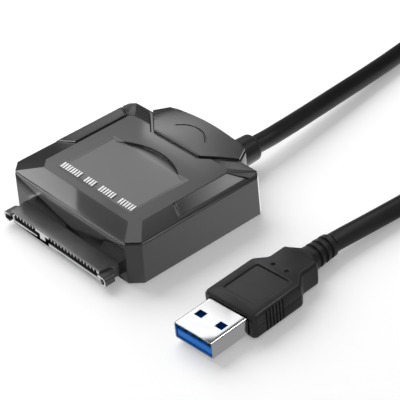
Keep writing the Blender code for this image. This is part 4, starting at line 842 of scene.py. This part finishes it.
def studio_floor(look):
    """White to the camera, pale grey where the object keeps the light off it.

    In reflections it glows beside the object, more beside the housing's right wall than before its front, and
    most in a strip before the drive connector.
    """
    kit = NodeKit("studio floor")
    tree = kit.tree
    tree.nodes.remove(kit.shader)
    output = next(node for node in tree.nodes if node.type == "OUTPUT_MATERIAL")
    diffuse = kit.add("ShaderNodeBsdfDiffuse")
    diffuse.inputs["Color"].default_value = (*look.floor, 1.0)
    vector, (x, y, _) = kit.position()
    beside = kit.math("ADD", look.side_glow, kit.ramp(y, *WALL_SIDE, 0.0, 0.55))
    before = kit.math("ADD", kit.ramp(x, *FRONT_LEFT, 1.2, 0.35), kit.ramp(x, *FRONT_RIGHT, 0.0, 0.45))
    glow = kit.math("MULTIPLY", beside, kit.ramp(y, *FRONT_BORDER))
    glow = kit.math("ADD", glow, kit.math("MULTIPLY", before, kit.ramp(y, *FRONT_BORDER, 1.0, 0.0)))
    glow = kit.math("MULTIPLY", glow, kit.ramp(x, *PLUG_BORDER, 1.0, 0.0))
    glow = kit.math("ADD", glow, kit.ramp(x, *PLUG_BORDER, 0.0, 0.36))
    glow = kit.math("MULTIPLY", glow, kit.ramp(y, *BACK_BORDER, 1.0, 0.4))
    strip = kit.math("MULTIPLY", kit.ramp(y, *STRIP_NEAR), kit.ramp(x, *STRIP_LEFT))
    strip = kit.math("MULTIPLY", strip, kit.ramp(y, *STRIP_FAR, 1.0, 0.0))
    strip = kit.math("MULTIPLY", strip, kit.ramp(x, *STRIP_RIGHT, look.lip_glow, 0.0))
    glow = kit.math("ADD", glow, strip)
    emission = kit.add("ShaderNodeEmission")
    path = kit.add("ShaderNodeLightPath")
    away = kit.add("ShaderNodeVectorMath", operation="LENGTH")
    kit.join(vector, away.inputs[0])
    far = kit.ramp(away.outputs["Value"], *FAR_FLOOR, look.floor_glow, look.floor_glow + FAR_GLOW)
    seen = kit.math("MULTIPLY", path.outputs["Is Camera Ray"], far)
    mirrored = kit.math("MULTIPLY", path.outputs["Is Glossy Ray"], glow)
    kit.join(kit.math("ADD", seen, mirrored), emission.inputs["Strength"])
    direct = kit.math("SUBTRACT", 1.0, path.outputs["Is Glossy Ray"])
    shaded = kit.add("ShaderNodeMixShader")
    kit.join(direct, shaded.inputs[0])
    kit.join(diffuse.outputs[0], shaded.inputs[2])
    both = kit.add("ShaderNodeAddShader")
    kit.join(shaded.outputs[0], both.inputs[0])
    kit.join(emission.outputs[0], both.inputs[1])
    kit.join(both.outputs[0], output.inputs["Surface"])
    return kit.material


def studio_world(look):
    """White to the camera, dim in reflections but less so before the object, and soft light otherwise."""
    world = bpy.data.worlds.new("studio")
    world.use_nodes = True
    bpy.context.scene.world = world
    tree = world.node_tree
    background = tree.nodes["Background"]
    background.inputs["Color"].default_value = (1.0, 1.0, 1.0, 1.0)
    path = tree.nodes.new("ShaderNodeLightPath")
    side = tree.nodes.new("ShaderNodeVectorMath")
    side.operation = "DOT_PRODUCT"
    tree.links.new(tree.nodes.new("ShaderNodeTexCoord").outputs["Generated"], side.inputs[0])
    side.inputs[1].default_value = (0.8, -0.6, 0.0)
    mirrored = tree.nodes.new("ShaderNodeMapRange")
    tree.links.new(side.outputs["Value"], mirrored.inputs["Value"])
    limits = {"From Min": -0.1, "From Max": 0.6, "To Min": look.gloss, "To Max": look.front_gloss}
    for socket, value in limits.items():
        mirrored.inputs[socket].default_value = value
    strength = look.fill
    for output, value in (("Is Glossy Ray", mirrored.outputs["Result"]), ("Is Transmission Ray", 1.0),
                          ("Is Camera Ray", 1.0)):
        choose = tree.nodes.new("ShaderNodeMix")
        tree.links.new(path.outputs[output], choose.inputs[0])
        for socket, part in ((choose.inputs[2], strength), (choose.inputs[3], value)):
            if isinstance(part, float):
                socket.default_value = part
            else:
                tree.links.new(part, socket)
        strength = choose.outputs[0]
    tree.links.new(strength, background.inputs["Strength"])


class ADAPTER_OT_stage(bpy.types.Operator):
    """Set up the floor, the soft lamp, the mirrored sheets, the white surroundings and the camera"""
    bl_idname = "adapter.stage"
    bl_label = "Studio"

    def execute(self, context):
        look = context.scene.adapter_studio
        mesh = bpy.data.meshes.new("floor")
        corners = [(x * FLOOR_REACH, y * FLOOR_REACH, 0) for x, y in ((-1, -1), (1, -1), (1, 1), (-1, 1))]
        mesh.from_pydata(corners, [], [(0, 1, 2, 3)])
        mesh.materials.append(studio_floor(look))
        floor = bpy.data.objects.new("floor", mesh)
        floor.location = (0.0, 0.0, FLOOR_Z)
        context.scene.collection.objects.link(floor)
        light_panel("large softbox", (-0.90, 0.25, 0.80), 0.9, (50.0, 50.0), look.key)
        for name, patch, normal, reach, glow in MIRRORED_SHEETS:
            mirrored_sheet(name, patch, normal, reach, glow)
        studio_world(look)
        camera = bpy.data.cameras.new("photo view")
        camera.sensor_width = 36.0
        camera.sensor_fit = "HORIZONTAL"
        camera.lens = look.lens
        camera.clip_start = 0.01
        holder = bpy.data.objects.new("photo view", camera)
        axes = Matrix((CAMERA_RIGHT, CAMERA_UP, CAMERA_BACK)).transposed()
        holder.matrix_world = Matrix.Translation(CAMERA_PLACE) @ axes.to_4x4()
        context.scene.collection.objects.link(holder)
        context.scene.camera = holder
        context.scene.view_settings.view_transform = "Standard"
        return {"FINISHED"}


class ADAPTER_PT_panel(bpy.types.Panel):
    bl_idname = "ADAPTER_PT_panel"
    bl_label = "Drive adapter"
    bl_space_type = "VIEW_3D"
    bl_region_type = "UI"
    bl_category = "Adapter"

    def draw(self, context):
        for attribute, operator in SECTIONS:
            column = self.layout.column(align=True)
            if attribute:
                look = getattr(context.scene, attribute)
                for name in look.bl_rna.properties.keys():
                    if name not in ("rna_type", "name"):
                        column.prop(look, name)
            column.operator(operator)


LOOKS = {
    "adapter_housing": HousingLook,
    "adapter_print": PrintLook,
    "adapter_connector": ConnectorLook,
    "adapter_lead": LeadLook,
    "adapter_plug": PlugLook,
    "adapter_studio": StudioLook,
}
SECTIONS = (
    ("adapter_housing", "adapter.housing"),
    ("adapter_print", "adapter.print_row"),
    ("adapter_connector", "adapter.connector"),
    (None, "adapter.board"),
    ("adapter_plug", "adapter.plug"),
    ("adapter_lead", "adapter.lead"),
    ("adapter_studio", "adapter.stage"),
)
CLASSES = (
    *LOOKS.values(),
    ADAPTER_OT_housing,
    ADAPTER_OT_print,
    ADAPTER_OT_connector,
    ADAPTER_OT_board,
    ADAPTER_OT_lead,
    ADAPTER_OT_plug,
    ADAPTER_OT_stage,
    ADAPTER_PT_panel,
)


def register():
    for cls in CLASSES:
        bpy.utils.register_class(cls)
    for attribute, cls in LOOKS.items():
        setattr(bpy.types.Scene, attribute, PointerProperty(type=cls))


def unregister():
    for attribute in LOOKS:
        delattr(bpy.types.Scene, attribute)
    for cls in reversed(CLASSES):
        bpy.utils.unregister_class(cls)


def main():
    register()
    bpy.ops.adapter.housing()
    bpy.ops.adapter.print_row()
    bpy.ops.adapter.connector()
    bpy.ops.adapter.board()
    bpy.ops.adapter.plug()
    bpy.ops.adapter.lead()
    bpy.ops.adapter.stage()


if __name__ == "__main__":
    main()
